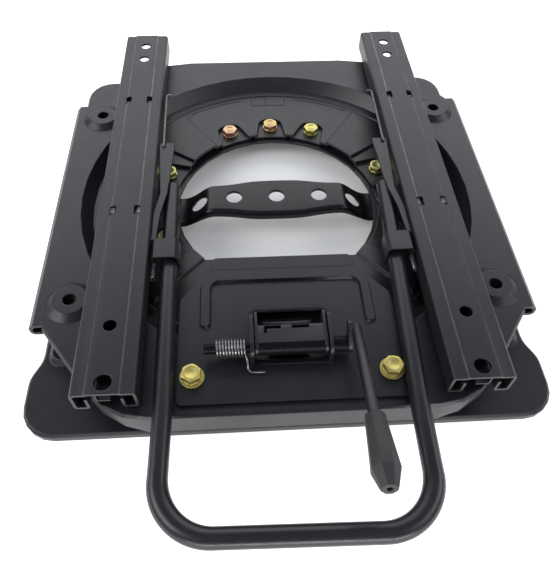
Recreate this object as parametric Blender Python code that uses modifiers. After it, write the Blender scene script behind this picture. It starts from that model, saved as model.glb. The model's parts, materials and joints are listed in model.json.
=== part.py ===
"""Seat swivel base with a pair of seat slides.

A pressed base plate carries a turntable plate on two glide rings. The turntable carries a
latch for the swivel and two slide rails, and a U-shaped handle releases the slides.
Lengths are written in millimetres and turned into metres where the meshes are made.
X is across the seat, Y to the rear, Z up. The base stands on z = 0. Lengths start at the
middle of the four bosses, which lies SWIVEL_Y behind the middle of the whole outline.
"""
import math

import bmesh
import bpy
from mathutils import Matrix, Vector

MM = 0.001
GAP = 0.3
ROUND = 48
BORE_SIDES = 16
SMALL_SIDES = 8
RING_SIDES = 32

# Sheet thicknesses.
PLATE_T = 2.5
RAIL_T = 2.0
CLIP_T = 1.6

# Heights above the floor, from the base plate up to the tops of the rails.
BASE_EDGE_TOP = 7.0
BASE_FIELD_TOP = 11.0
BASE_FLANGE_TOP = 18.0
GLIDE_T = 2.9
TABLE_TOP = 36.5
TABLE_SKIRT_BOTTOM = 13.5
EDGE_FLANGE = 6.5
DISH_FLOOR_TOP = BASE_FLANGE_TOP + GAP + GLIDE_T + GAP + PLATE_T
POCKET_DEPTH = 3.5
SECTOR_RISE = 2.5
SECTOR_SPANS = ((34.5, 55.5), (125.5, 137.0))

# The swivel's axis sits a little behind the middle of the four bosses, which is y = 0.
CENTRE_Y = 3.5

# Base plate, seen from above.
BASE_HALF_X = 201.0
BASE_WAIST_X = 193.0
BASE_HALF_Y = 215.0
BASE_CORNER_R = 26.0
BASE_FIELD_Y = 158.0
BASE_RING_FOOT_R = 166.0
BASE_RING_TOP_R = 154.0
BASE_HOLE_R = 124.0
BASE_BOLT_X = 150.0
BASE_BOLT_Y = 135.0
BASE_BOLT_R = 4.5

# Turntable plate, seen from above.
TABLE_HALF_X = 198.5
TABLE_BODY_X = 188.0
TABLE_SIDE_Y = 134.0
TABLE_FRONT_Y = -213.5
TABLE_REAR_Y = 209.5
TABLE_CORNER_X = 131.0
TABLE_FRONT_R = 56.0
TABLE_REAR_R = 98.0
SKIRT_DEEP_X = 105.0
SKIRT_SHALLOW_X = 146.0
DISH_RIM_R = 175.5
DISH_FOOT_R = 167.0
DISH_LEDGE = 1.0
DISH_LEDGE_R = 158.5
TABLE_HOLE_R = 95.0
TABLE_CHORD_Y = -65.0
BOSS_X = 168.5
BOSS_Y = 113.4
BOSS_FOOT_R = 20.5
BOSS_TOP_R = 13.5
BOSS_RISE = 4.5
BOSS_HOLE_R = 5.5

# Ring bolts.
BOLT_CIRCLE_R = 109.5
BOLT_ANGLES = (0.0, 22.5, -22.5, 67.5, -67.5, 112.5, -112.5, 157.5, -157.5)
BOLT_R = 4.0
BOLT_FLATS = 13.0
BOLT_HEAD_H = 6.0
BOLT_LENGTH = 16.0
POCKET_R = 10.5
POCKET_FLARE = 14.0
NUT_H = 6.5

# Retaining ring and glide rings.
GLIDE_REACH = 10.5
GLIDE_OUTER_R = BASE_HOLE_R + GLIDE_REACH
RETAINER_INNER_R = 91.5
RETAINER_STEP_R = BASE_HOLE_R - 4.5
RETAINER_OUTER_R = GLIDE_OUTER_R + 0.5
GLIDE_SLEEVE_R = BASE_HOLE_R - GAP
GLIDE_SLEEVE_T = 2.2
# The pockets' outer walls stay inside the upper glide's sleeve.
POCKET_REACH = GLIDE_SLEEVE_R - GLIDE_SLEEVE_T - GAP - 2.6
GLIDE_SLEEVE_SHORT = 0.5
LOWER_GLIDE_T = 1.4

# Lock windows of the base ring, one each quarter turn.
LOCK_R = 146.0
LOCK_WINDOW_X = 18.0
LOCK_WINDOW_Y = 5.6

# Cable strap across the hole.
STRAP_Y = 2.0
STRAP_TOP = 31.5
STRAP_FLAT_X = 62.0
STRAP_FOOT_X = 82.0
STRAP_END_X = 106.0
STRAP_MID_HALF = 22.0
STRAP_END_HALF = 16.0
STRAP_END_R = 5.0
STRAP_HOLE_R = 7.3
STRAP_HOLES_X = (0.0, 39.0, -39.0, 71.0, -71.0)
STRAP_RIVET_X = 99.5
STRAP_RIVET_R = 2.8
STRAP_LIP = 7.5
PAD_HALF = 17.0

# Latch carrier, a pressed plate over the front of the dish.
CARRIER_HALF_X = 83.0
CARRIER_FRONT_Y = -206.0
CARRIER_CORNER_Y = -117.0
CARRIER_REAR_Y = -90.0
CARRIER_REAR_X = 60.0
CARRIER_LIP_Y = -66.0
CARRIER_SLOPE_Y = 12.0
RIB_X = 63.0
RIB_REAR_Y = -98.0
RIB_FRONT_Y = -145.0
RIB_HALF = 5.0
RIB_RISE = 2.8
WINDOW_HALF_X = 27.0
WINDOW_REAR_Y = -126.0
WINDOW_FRONT_Y = -177.0
FRONT_BOLT_X = 72.0
FRONT_BOLT_Y = -185.0

# Latch: shaft, pawl, lever and grip.
SHAFT_Y = -168.5
SHAFT_Z = 50.0
SHAFT_R = 3.8
SHAFT_LEFT_X = -63.0
SHAFT_RIGHT_X = 43.5
EAR_X = 28.3
EAR_TOP = 59.0
EAR_REAR_Y = -130.0
PAWL_HALF_X = 24.5
PAWL_TOP = 55.0
PAWL_REAR_Y = -141.0
PAWL_TOOTH_X = 15.5
SLEEVE_R = 6.2
HUB_T = 3.0
TOOTH_CLEAR = 0.5
LEVER_R = 3.8
LEVER_TAIL = (45.8, -160.0, 60.5)
LEVER_TIP = (41.6, -288.0, 93.0)
GRIP_LENGTH = 50.0
GRIP_START_R = 6.7
GRIP_WIDE_R = 9.2
GRIP_TIP_R = 5.2
GRIP_NOSE = 11.5
TORSION_R = 6.2
TORSION_WIRE_R = 0.9
TORSION_TURNS = 8
TORSION_LEFT_X = -54.0
TORSION_RIGHT_X = -33.5

# Slide rails.
RAIL_X = 129.3
RAIL_HALF = 22.2
RAIL_TOP = 60.0
RAIL_FRONT_Y = -205.2
RAIL_REAR_Y = 225.5
RAIL_DEPTH = 14.5
RAIL_STRIP_HALF = 11.3
RAIL_STRIP_STEP = 0.8
RAIL_CHAMFER = 2.8
RAIL_HOOK_X = 11.2
RAIL_HOOK_TOP = 52.0
RAIL_HOLES = ((204.8, 4.9), (181.0, 4.9), (-151.2, 4.9), (-196.3, 6.2))
RAIL_WINDOWS_Y = (111.0, -37.9)
RAIL_WINDOW_X = 10.0
RAIL_WINDOW_HALF = (2.6, 5.2)
INNER_HALF_Y = 178.0
INNER_WALL_X = 8.5
INNER_LIP_X = 16.5
INNER_TOP = 55.3
INNER_LIP_BOTTOM = 49.5
INNER_RIVET_Y = 152.0
RIVET_R = 3.8
LINER_HALF_Y = 112.0

# Handle, clips, arms and their wires.
HANDLE_X = 95.0
HANDLE_FRONT_X = 87.5
HANDLE_Z = 45.0
HANDLE_R = 6.75
HANDLE_WALL = 1.5
HANDLE_REAR_Y = 0.0
HANDLE_FRONT_Y = -296.0
HANDLE_BEND_R = 42.0
PIVOT_Y = -77.0
PIVOT_Z = 48.5
PIN_R = 2.5
PIN_HEAD_R = 4.0
CLIP_REAR_Y = -67.5
CLIP_FRONT_Y = -87.0
CLIP_TOP = 56.8
CLIP_CORNER = 3.0
ARM_REAR_Y = 51.5
ARM_KINK_Y = -38.0
ARM_NECK_Y = -14.0
ARM_NECK = (102.1, 96.4)
ARM_Z = HANDLE_Z + HANDLE_R + GAP
ARM_T = 2.5
ARM_HOLE_X = -102.3
WIRE_R = 1.2
WIRE_REAR_Y = 124.0
COIL_R = 1.9
COIL_WIRE_R = 0.5
COIL_TURNS = 6
COIL_FRONT_Y = -102.0

# The handle reaches far forward, so the middle of the bosses sits behind the middle of the outline.
SWIVEL_Y = (HANDLE_R - HANDLE_FRONT_Y - RAIL_REAR_Y) / 2

RAIL_SIDES = (("left", -1.0), ("right", 1.0))


def clear_scene():
    for old in list(bpy.data.objects):
        bpy.data.objects.remove(old, do_unlink=True)


def new_collection(name):
    group = bpy.data.collections.new(name)
    bpy.context.scene.collection.children.link(group)
    return group


def paint(name, colour, roughness, metallic):
    material = bpy.data.materials.new(name)
    material.use_nodes = True
    shader = material.node_tree.nodes["Principled BSDF"]
    shader.inputs["Base Color"].default_value = (*colour, 1.0)
    shader.inputs["Roughness"].default_value = roughness
    shader.inputs["Metallic"].default_value = metallic
    return material


def to_object(bm, name="form"):
    """A new object from a bmesh, with its faces turned outwards."""
    bmesh.ops.recalc_face_normals(bm, faces=bm.faces)
    mesh = bpy.data.meshes.new(name)
    bm.to_mesh(mesh)
    bm.free()
    form = bpy.data.objects.new(name, mesh)
    WORK.objects.link(form)
    return form


def evaluated(form):
    """A new object with another one's evaluated, welded mesh in world space."""
    bpy.context.view_layer.update()
    shape = form.evaluated_get(bpy.context.evaluated_depsgraph_get())
    mesh = bpy.data.meshes.new_from_object(shape)
    mesh.transform(form.matrix_world)
    bm = bmesh.new()
    bm.from_mesh(mesh)
    bmesh.ops.remove_doubles(bm, verts=bm.verts, dist=0.002)
    return to_object(bm)


def bake(form):
    solid = evaluated(form)
    bpy.data.objects.remove(form, do_unlink=True)
    return solid


def volume(form):
    """Volume of a closed mesh, and nothing for an open one."""
    bm = bmesh.new()
    bm.from_mesh(form.data)
    closed = all(len(edge.link_faces) == 2 for edge in bm.edges)
    size = bm.calc_volume() if closed else 0.0
    bm.free()
    return size


def combine(form, others, operation):
    """Boolean steps. Where the exact solver's result is open or impossible, the other one is used."""
    for other in others:
        here = volume(form)
        there = volume(other)
        least, most = {"UNION": (max(here, there), here + there), "DIFFERENCE": (here - there, here),
                       "INTERSECT": (0.0, min(here, there))}[operation]
        step = form.modifiers.new(operation.lower(), "BOOLEAN")
        step.operation = operation
        step.object = other
        for solver in ("EXACT", "MANIFOLD"):
            step.solver = solver
            result = evaluated(form)
            size = volume(result)
            if size > 0.0 and least - 1.0 < size < most + 1.0:
                break
            if solver == "EXACT":
                bpy.data.objects.remove(result, do_unlink=True)
        bpy.data.objects.remove(form, do_unlink=True)
        bpy.data.objects.remove(other, do_unlink=True)
        form = result
    return form


def join(form, *others):
    return combine(form, others, "UNION")


def cut(form, *others):
    return combine(form, others, "DIFFERENCE")


def common(form, *others):
    return combine(form, others, "INTERSECT")


def rounded(corners, step=math.radians(20)):
    """Points of a closed outline whose corners (x, y, radius) are rounded by arcs."""
    points = []
    count = len(corners)
    for index, (x, y, radius) in enumerate(corners):
        here = Vector((x, y))
        before = (Vector(corners[index - 1][:2]) - here).normalized()
        after = (Vector(corners[(index + 1) % count][:2]) - here).normalized()
        turn = math.pi - before.angle(after)
        if radius <= 0 or turn < 0.01:
            points.append((x, y))
            continue
        reach = radius * math.tan(turn / 2)
        start = here + before * reach
        centre = here + (before + after).normalized() * (radius / math.cos(turn / 2))
        sign = 1.0 if before.cross(after) < 0 else -1.0
        steps = max(2, math.ceil(turn / step))
        spoke = start - centre
        for number in range(steps + 1):
            points.append(tuple(centre + Matrix.Rotation(sign * turn * number / steps, 2) @ spoke))
    return points


def offset(points, distance):
    """A closed counter-clockwise outline moved outwards by a distance."""
    moved = []
    count = len(points)
    for index, point in enumerate(points):
        here = Vector(point)
        into = (here - Vector(points[index - 1])).normalized()
        out = (Vector(points[(index + 1) % count]) - here).normalized()
        normal = Vector((into.y + out.y, -into.x - out.x)).normalized()
        stretch = max(0.4, normal.dot(Vector((out.y, -out.x))))
        moved.append(tuple(here + normal * (distance / stretch)))
    return moved


def band(path, thickness):
    """Outline of a folded sheet: a path and the same path moved to its left."""
    far = []
    for index, point in enumerate(path):
        here = Vector(point)
        into = (here - Vector(path[index - 1])).normalized() if index else None
        out = (Vector(path[index + 1]) - here).normalized() if index + 1 < len(path) else None
        into = into or out
        out = out or into
        normal = Vector((-into.y - out.y, into.x + out.x)).normalized()
        stretch = max(0.3, normal.dot(Vector((-out.y, out.x))))
        far.append(tuple(here + normal * (thickness / stretch)))
    return list(path) + far[::-1]


def circle(radius, x=0.0, y=0.0, sides=BORE_SIDES):
    points = []
    for number in range(sides):
        angle = 2 * math.pi * number / sides
        points.append((x + radius * math.cos(angle), y + radius * math.sin(angle)))
    return points


def slab(outline, low, high, holes=()):
    """A flat outline, with holes, filled and extruded between two heights."""
    curve = bpy.data.curves.new("outline", "CURVE")
    curve.dimensions = "2D"
    curve.fill_mode = "BOTH"
    curve.extrude = (high - low) / 2
    for loop in (outline, *holes):
        spline = curve.splines.new("POLY")
        spline.points.add(len(loop) - 1)
        for point, (x, y) in zip(spline.points, loop):
            point.co = (x, y, 0.0, 1.0)
        spline.use_cyclic_u = True
    form = bpy.data.objects.new("outline", curve)
    form.location.z = (low + high) / 2
    WORK.objects.link(form)
    return bake(form)


def turn_to(form, matrix):
    form.data.transform(matrix)
    return form


ALONG_Y = Matrix(((1, 0, 0, 0), (0, 0, -1, 0), (0, 1, 0, 0), (0, 0, 0, 1)))
ALONG_X = Matrix(((0, 0, 1, 0), (1, 0, 0, 0), (0, 1, 0, 0), (0, 0, 0, 1)))


def bar_y(section, rear, front):
    """A section in (x, z), extruded along Y."""
    return turn_to(slab(section, -max(rear, front), -min(rear, front)), ALONG_Y)


def bar_x(section, low, high):
    """A section in (y, z), extruded along X."""
    return turn_to(slab(section, low, high), ALONG_X)


def pressed(outline, levels):
    """A loft of one outline through levels of (height, outward offset), closed at both ends."""
    bm = bmesh.new()
    rings = [[bm.verts.new((x, y, height)) for x, y in offset(outline, grow)] for height, grow in levels]
    bm.faces.new(rings[0][::-1])
    bm.faces.new(rings[-1])
    for low, high in zip(rings, rings[1:]):
        for index in range(len(outline)):
            bm.faces.new((low[index - 1], low[index], high[index], high[index - 1]))
    return to_object(bm)


def turned(profile, steps=ROUND):
    """A profile of (radius, z) points turned round the Z axis, closed unless it ends on the axis."""
    bm = bmesh.new()
    verts = [bm.verts.new((radius, 0.0, z)) for radius, z in profile]
    for before, after in zip(verts, verts[1:]):
        bm.edges.new((before, after))
    if profile[-1][0] > 0:
        bm.edges.new((verts[-1], verts[0]))
    mesh = bpy.data.meshes.new("profile")
    bm.to_mesh(mesh)
    bm.free()
    form = bpy.data.objects.new("profile", mesh)
    WORK.objects.link(form)
    screw = form.modifiers.new("turn", "SCREW")
    screw.axis = "Z"
    screw.steps = steps
    screw.render_steps = steps
    screw.use_merge_vertices = True
    screw.merge_threshold = 0.0001
    return bake(form)


def cone(low_r, high_r, low, high, x=0.0, y=0.0, sides=BORE_SIDES):
    """A cylinder or cone standing on its low end."""
    bm = bmesh.new()
    place = Matrix.Translation((x, y, (low + high) / 2))
    bmesh.ops.create_cone(bm, cap_ends=True, segments=sides, radius1=low_r, radius2=high_r,
                          depth=high - low, matrix=place)
    return to_object(bm)


def rod(start, end, radius, sides=BORE_SIDES):
    start = Vector(start)
    way = Vector(end) - start
    form = cone(radius, radius, 0.0, way.length, sides=sides)
    spin = Vector((0, 0, 1)).rotation_difference(way).to_matrix().to_4x4()
    return turn_to(form, Matrix.Translation(start) @ spin)


def block(low, high):
    bm = bmesh.new()
    size = [b - a for a, b in zip(low, high)]
    middle = [(a + b) / 2 for a, b in zip(low, high)]
    bmesh.ops.create_cube(bm, size=1.0, matrix=Matrix.Translation(middle) @ Matrix.Diagonal((*size, 1)))
    return to_object(bm)


def wire(points, radius, resolution=2):
    """A round wire or tube along a list of points, with closed ends."""
    curve = bpy.data.curves.new("wire", "CURVE")
    curve.dimensions = "3D"
    curve.bevel_depth = radius
    curve.bevel_resolution = resolution
    curve.use_fill_caps = True
    spline = curve.splines.new("POLY")
    spline.points.add(len(points) - 1)
    for point, place in zip(spline.points, points):
        point.co = (*place, 1.0)
    form = bpy.data.objects.new("wire", curve)
    WORK.objects.link(form)
    return bake(form)


def polar(radius, degrees):
    """A place on a circle, measured from the rear and positive to the right."""
    angle = math.radians(degrees)
    return radius * math.sin(angle), radius * math.cos(angle)


def ring_place(degrees):
    """A ring bolt's place."""
    x, y = polar(BOLT_CIRCLE_R, degrees)
    return x, y + CENTRE_Y


def spun(points, degrees):
    """Points drawn with the rear as their outward way, turned to another angle."""
    angle = math.radians(degrees)
    return [(x * math.cos(angle) + y * math.sin(angle), -x * math.sin(angle) + y * math.cos(angle))
            for x, y in points]


def centred(form):
    """Moves a form drawn round the origin to the swivel's axis."""
    return turn_to(form, Matrix.Translation((0.0, CENTRE_Y, 0.0)))


def around_axis(points):
    """Moves an outline drawn round the origin to the swivel's axis."""
    return [(x, y + CENTRE_Y) for x, y in points]


def mirrored(form):
    turn_to(form, Matrix.Diagonal((-1, 1, 1, 1)))
    form.data.flip_normals()
    return form


def finish(form, name, material, parent):
    """Names a piece, scales it to metres, paints it and hangs it from its axis."""
    bm = bmesh.new()
    bm.from_mesh(form.data)
    bmesh.ops.dissolve_limit(bm, angle_limit=math.radians(0.05), verts=bm.verts, edges=bm.edges)
    bmesh.ops.triangulate(bm, faces=bm.faces)
    bmesh.ops.transform(bm, matrix=Matrix.Diagonal((MM, MM, MM, 1)) @ Matrix.Translation((0, SWIVEL_Y, 0)),
                        verts=bm.verts)
    bm.to_mesh(form.data)
    bm.free()
    form.name = name
    form.data.name = name
    form.data.materials.clear()
    form.data.materials.append(material)
    form.data.shade_smooth()
    form.data.set_sharp_from_angle(angle=math.radians(35))
    WORK.objects.unlink(form)
    PARTS.objects.link(form)
    if parent:
        form.data.transform(parent.matrix_world.inverted())
        form.parent = parent
    return form


def axis_empty(name, x, y, z, parent=None):
    """An empty on a joint's axis."""
    mark = bpy.data.objects.new(name, None)
    mark.empty_display_size = 0.03
    PARTS.objects.link(mark)
    mark.location = Vector((x, y + SWIVEL_Y, z)) * MM
    if parent:
        mark.location -= parent.matrix_world.translation
        mark.parent = parent
    bpy.context.view_layer.update()
    return mark


def base_plate():
    """Pressed plate with a turned-down edge, a raised field and a raised ring for the swivel."""
    waist_y = BASE_FIELD_Y - 8.0
    lobe_y = BASE_FIELD_Y + 8.0
    corners = [(BASE_HALF_X, -BASE_HALF_Y, BASE_CORNER_R), (BASE_HALF_X, -lobe_y, 20.0),
               (BASE_WAIST_X, -waist_y, 20.0), (BASE_WAIST_X, waist_y, 20.0),
               (BASE_HALF_X, lobe_y, 20.0), (BASE_HALF_X, BASE_HALF_Y, BASE_CORNER_R)]
    corners += [(-x, y, radius) for x, y, radius in corners[::-1]]
    edge = rounded(corners)
    field_x = BASE_WAIST_X - 3.0
    field = rounded([(field_x, -BASE_FIELD_Y, 12.0), (field_x, BASE_FIELD_Y, 12.0),
                     (-field_x, BASE_FIELD_Y, 12.0), (-field_x, -BASE_FIELD_Y, 12.0)])
    rise = BASE_FIELD_TOP - BASE_EDGE_TOP
    plate = pressed(edge, [(0.0, 0.0), (BASE_EDGE_TOP - 2.0, 0.0), (BASE_EDGE_TOP, -2.0)])
    plate = join(plate, pressed(field, [(BASE_EDGE_TOP - 1.0, 0.0), (BASE_FIELD_TOP, -rise - 1.0)]))
    plate = cut(plate, slab(offset(edge, -PLATE_T), -1.0, BASE_EDGE_TOP - PLATE_T))
    plate = cut(plate, pressed(field, [(BASE_EDGE_TOP - PLATE_T - 1.0, -1.0),
                                       (BASE_FIELD_TOP - PLATE_T, -rise - 2.0)]))
    plate = cut(plate, cone(BASE_RING_FOOT_R, BASE_RING_FOOT_R, -1.0, TABLE_TOP, sides=ROUND))
    path = [(BASE_RING_FOOT_R + 3.0, BASE_FIELD_TOP), (BASE_RING_FOOT_R - 1.0, BASE_FIELD_TOP),
            (BASE_RING_TOP_R, BASE_FLANGE_TOP), (BASE_HOLE_R, BASE_FLANGE_TOP)]
    plate = join(plate, turned(band(path, PLATE_T)))
    window = rounded([(-LOCK_WINDOW_X, LOCK_R - LOCK_WINDOW_Y, 2.0), (LOCK_WINDOW_X, LOCK_R - LOCK_WINDOW_Y, 2.0),
                      (LOCK_WINDOW_X, LOCK_R + LOCK_WINDOW_Y, 2.0), (-LOCK_WINDOW_X, LOCK_R + LOCK_WINDOW_Y, 2.0)])
    for quarter in range(4):
        plate = cut(plate, slab(spun(window, 90.0 * quarter), 5.0, TABLE_TOP))
    for sx in (-1, 1):
        for sy in (-1, 1):
            plate = cut(plate, cone(BASE_BOLT_R, BASE_BOLT_R, -1.0, TABLE_TOP, sx * BASE_BOLT_X, sy * BASE_BOLT_Y))
    return centred(plate)


def upper_glide():
    """L-section bush between the base's ring and the dish floor, which also centres the ring."""
    low = BASE_FLANGE_TOP + GAP
    foot = BASE_FLANGE_TOP - PLATE_T + GLIDE_SLEEVE_SHORT
    bore = GLIDE_SLEEVE_R - GLIDE_SLEEVE_T
    return centred(turned([(bore, low + GLIDE_T), (GLIDE_OUTER_R, low + GLIDE_T), (GLIDE_OUTER_R, low),
                           (GLIDE_SLEEVE_R, low), (GLIDE_SLEEVE_R, foot), (bore, foot)], RING_SIDES))


def retainer_levels():
    """Heights of the retaining ring: top of its bolted inner band and of its outer band."""
    pocket_bottom = DISH_FLOOR_TOP - POCKET_DEPTH - PLATE_T
    inner_top = pocket_bottom - GAP
    outer_top = BASE_FLANGE_TOP - PLATE_T - GAP - LOWER_GLIDE_T - GAP
    return inner_top, outer_top


def lower_glide():
    low = retainer_levels()[1] + GAP
    high = low + LOWER_GLIDE_T
    return centred(turned([(RETAINER_STEP_R + 3.5, high), (GLIDE_OUTER_R, high), (GLIDE_OUTER_R, low),
                           (RETAINER_STEP_R + 3.5, low)], RING_SIDES))


def retainer_ring():
    """Stepped ring under the base's ring, with the weld nuts of the ring bolts."""
    inner_top, outer_top = retainer_levels()
    path = [(RETAINER_OUTER_R, outer_top), (RETAINER_STEP_R + 2.5, outer_top),
            (RETAINER_STEP_R - 1.5, inner_top), (RETAINER_INNER_R, inner_top)]
    ring = turned(band(path, PLATE_T), RING_SIDES)
    nut_top = inner_top - PLATE_T + 0.4
    for degrees in BOLT_ANGLES:
        x, y = polar(BOLT_CIRCLE_R, degrees)
        nut_r = BOLT_FLATS / math.sqrt(3)
        ring = join(ring, cone(nut_r, nut_r, nut_top - NUT_H, nut_top, x, y, sides=6))
        ring = cut(ring, cone(BOLT_R + GAP, BOLT_R + GAP, 0.0, TABLE_TOP, x, y, sides=SMALL_SIDES))
    for side in (-1, 1):
        ring = cut(ring, cone(STRAP_RIVET_R + GAP, STRAP_RIVET_R + GAP, 0.0, TABLE_TOP, side * STRAP_RIVET_X,
                              STRAP_Y - CENTRE_Y, sides=SMALL_SIDES))
    return centred(ring)


def sector(low_angle, high_angle, low_r, high_r, steps=6):
    """Outline of a piece of a ring."""
    angles = [low_angle + (high_angle - low_angle) * number / steps for number in range(steps + 1)]
    outline = [polar(high_r, degrees) for degrees in angles[::-1]]
    return outline + [polar(low_r, degrees) for degrees in angles]


def pocket_outline(flare, half, reach, corner):
    """A seat open to the plate's hole, drawn towards the rear."""
    return rounded([(-flare, TABLE_HOLE_R - 2.0, 0.0), (flare, TABLE_HOLE_R - 2.0, 0.0),
                    (half, reach, corner), (-half, reach, corner)], math.radians(25))


def pressed_down(table, outline):
    """Presses a pocket into the dish floor."""
    low = DISH_FLOOR_TOP - POCKET_DEPTH
    table = join(table, pressed(outline, [(low - PLATE_T, 1.8), (DISH_FLOOR_TOP - 1.0, 2.8)]))
    return cut(table, pressed(outline, [(low, 0.0), (DISH_FLOOR_TOP + 4.0, 1.6)]))


def pressed_up(table, outline, floor, rise, draft, wall):
    """Presses a raised field into a sheet whose top is the floor height."""
    table = join(table, pressed(outline, [(floor - 1.0, 0.0), (floor + rise, -draft)]))
    return cut(table, pressed(outline, [(floor - PLATE_T - 1.0, -wall), (floor + rise - PLATE_T, -wall - draft)]))


def table_skirt():
    """The plate's field with its turned-down edge: deep along the front, shallow elsewhere."""
    side_y = TABLE_SIDE_Y + 2.0
    corners = [(TABLE_BODY_X, -side_y, 3.0), (TABLE_BODY_X, side_y, 3.0),
               (TABLE_CORNER_X, TABLE_REAR_Y, TABLE_REAR_R), (-TABLE_CORNER_X, TABLE_REAR_Y, TABLE_REAR_R),
               (-TABLE_BODY_X, side_y, 3.0), (-TABLE_BODY_X, -side_y, 3.0),
               (-TABLE_CORNER_X, TABLE_FRONT_Y, TABLE_FRONT_R), (TABLE_CORNER_X, TABLE_FRONT_Y, TABLE_FRONT_R)]
    outline = rounded(corners)
    table = pressed(outline, [(TABLE_SKIRT_BOTTOM - 5.0, 0.0), (TABLE_TOP - 2.0, 0.0), (TABLE_TOP, -1.6)])
    table = cut(table, slab(offset(outline, -PLATE_T), 0.0, TABLE_TOP - PLATE_T))
    shallow = TABLE_TOP - EDGE_FLANGE
    far = BASE_HALF_X + 20.0
    front = [(-far, 0.0), (far, 0.0), (far, shallow), (SKIRT_SHALLOW_X, shallow),
             (SKIRT_DEEP_X, TABLE_SKIRT_BOTTOM), (-SKIRT_DEEP_X, TABLE_SKIRT_BOTTOM),
             (-SKIRT_SHALLOW_X, shallow), (-far, shallow)]
    table = cut(table, bar_y(front, -far - 50.0, 0.0))
    table = cut(table, block((-far, -1.0, 0.0), (far, far + 50.0, shallow)))
    for side in (-1, 1):
        inner = side * (TABLE_BODY_X - PLATE_T - 1.0)
        outer = side * far
        table = cut(table, block((min(inner, outer), -TABLE_SIDE_Y, 0.0),
                                 (max(inner, outer), TABLE_SIDE_Y, TABLE_TOP - PLATE_T)))
    hook = [(TABLE_BODY_X, TABLE_TOP - 12.2), (TABLE_HALF_X - 2.5, TABLE_TOP - 12.2),
            (TABLE_HALF_X, TABLE_TOP - 9.7), (TABLE_HALF_X, TABLE_TOP - 4.0),
            (TABLE_HALF_X - 4.0, TABLE_TOP), (TABLE_BODY_X - 6.0, TABLE_TOP)]
    section = band(hook, PLATE_T)
    table = join(table, bar_y(section, TABLE_SIDE_Y, -TABLE_SIDE_Y))
    return join(table, mirrored(bar_y(section, TABLE_SIDE_Y, -TABLE_SIDE_Y)))


def turntable_plate():
    """Pressed plate with the dish, its raised sectors and bolt pockets, and four mounting bosses."""
    table = table_skirt()
    ledge = DISH_FLOOR_TOP + DISH_LEDGE
    slope = (DISH_RIM_R - DISH_FOOT_R) / (TABLE_TOP - ledge)
    wall = PLATE_T * 0.8
    for low, high, grow in ((ledge - PLATE_T, TABLE_TOP - 1.0, wall), (ledge, TABLE_TOP + 1.0, 0.0)):
        foot_r = DISH_FOOT_R + grow
        form = cone(foot_r, foot_r + slope * (high - low), low, high, y=CENTRE_Y, sides=ROUND)
        table = cut(table, form) if grow == 0.0 else join(table, form)
    table = join(table, cone(DISH_LEDGE_R + 0.5, DISH_LEDGE_R + 1.5, DISH_FLOOR_TOP - PLATE_T, ledge - 1.0,
                             y=CENTRE_Y, sides=ROUND))
    table = cut(table, cone(DISH_LEDGE_R - 1.0, DISH_LEDGE_R + 1.0, DISH_FLOOR_TOP, ledge + 1.0, y=CENTRE_Y,
                            sides=ROUND))
    for low, high in SECTOR_SPANS:
        for side in (-1, 1):
            outline = sector(*sorted((side * low, side * high)), TABLE_HOLE_R - 6.0, DISH_FOOT_R - 12.0)
            outline = around_axis(outline)
            table = pressed_up(table, outline, DISH_FLOOR_TOP, SECTOR_RISE, 2.5, 2.0)
    pocket = pocket_outline(POCKET_FLARE, POCKET_R, POCKET_REACH, POCKET_R * 0.8)
    for degrees in BOLT_ANGLES:
        table = pressed_down(table, around_axis(spun(pocket, degrees)))
    pad = pocket_outline(PAD_HALF, PAD_HALF, STRAP_END_X + 2.0, STRAP_END_R)
    for degrees in (-90.0, 90.0):
        table = pressed_down(table, [(x, y + STRAP_Y) for x, y in spun(pad, degrees)])
    hole = cone(TABLE_HOLE_R, TABLE_HOLE_R, 0.0, RAIL_TOP, y=CENTRE_Y, sides=ROUND)
    hole = common(hole, block((-TABLE_HALF_X, TABLE_CHORD_Y, -1.0), (TABLE_HALF_X, TABLE_HALF_X, RAIL_TOP + 1.0)))
    table = cut(table, hole)
    for degrees in BOLT_ANGLES:
        x, y = ring_place(degrees)
        table = cut(table, cone(BOLT_R + GAP, BOLT_R + GAP, 0.0, RAIL_TOP, x, y, sides=SMALL_SIDES))
    for side in (-1, 1):
        table = cut(table, cone(STRAP_RIVET_R + GAP, STRAP_RIVET_R + GAP, 0.0, RAIL_TOP, side * STRAP_RIVET_X,
                                STRAP_Y, sides=SMALL_SIDES))
        nut_r = BOLT_FLATS / math.sqrt(3)
        nut_top = TABLE_TOP - PLATE_T + 0.4
        x = side * FRONT_BOLT_X
        table = join(table, cone(nut_r, nut_r, nut_top - NUT_H, nut_top, x, FRONT_BOLT_Y, sides=6))
        table = cut(table, cone(BOLT_R + GAP, BOLT_R + GAP, 0.0, RAIL_TOP, x, FRONT_BOLT_Y, sides=SMALL_SIDES))
        for end in (-1, 1):
            x = side * BOSS_X
            y = end * BOSS_Y
            table = join(table, cone(BOSS_FOOT_R, BOSS_TOP_R, TABLE_TOP - 0.5, TABLE_TOP + BOSS_RISE, x, y, 20))
            table = cut(table, cone(BOSS_FOOT_R - 1.6, BOSS_TOP_R - 2.0, TABLE_TOP - PLATE_T - 0.5,
                                    TABLE_TOP + BOSS_RISE - PLATE_T, x, y, 20))
            table = cut(table, cone(BOSS_HOLE_R, BOSS_HOLE_R, 0.0, RAIL_TOP, x, y, 12))
            table = cut(table, cone(RIVET_R + GAP, RIVET_R + GAP, 0.0, RAIL_TOP, side * RAIL_X, end * INNER_RIVET_Y,
                                    sides=SMALL_SIDES))
    slot_x = PAWL_TOOTH_X + 4.0
    slot = rounded([(-slot_x, PAWL_REAR_Y - 7.0, 2.0), (slot_x, PAWL_REAR_Y - 7.0, 2.0),
                    (slot_x, PAWL_REAR_Y + 12.0, 2.0), (-slot_x, PAWL_REAR_Y + 12.0, 2.0)])
    return cut(table, slab(slot, 0.0, DISH_FLOOR_TOP + 5.0))


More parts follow.
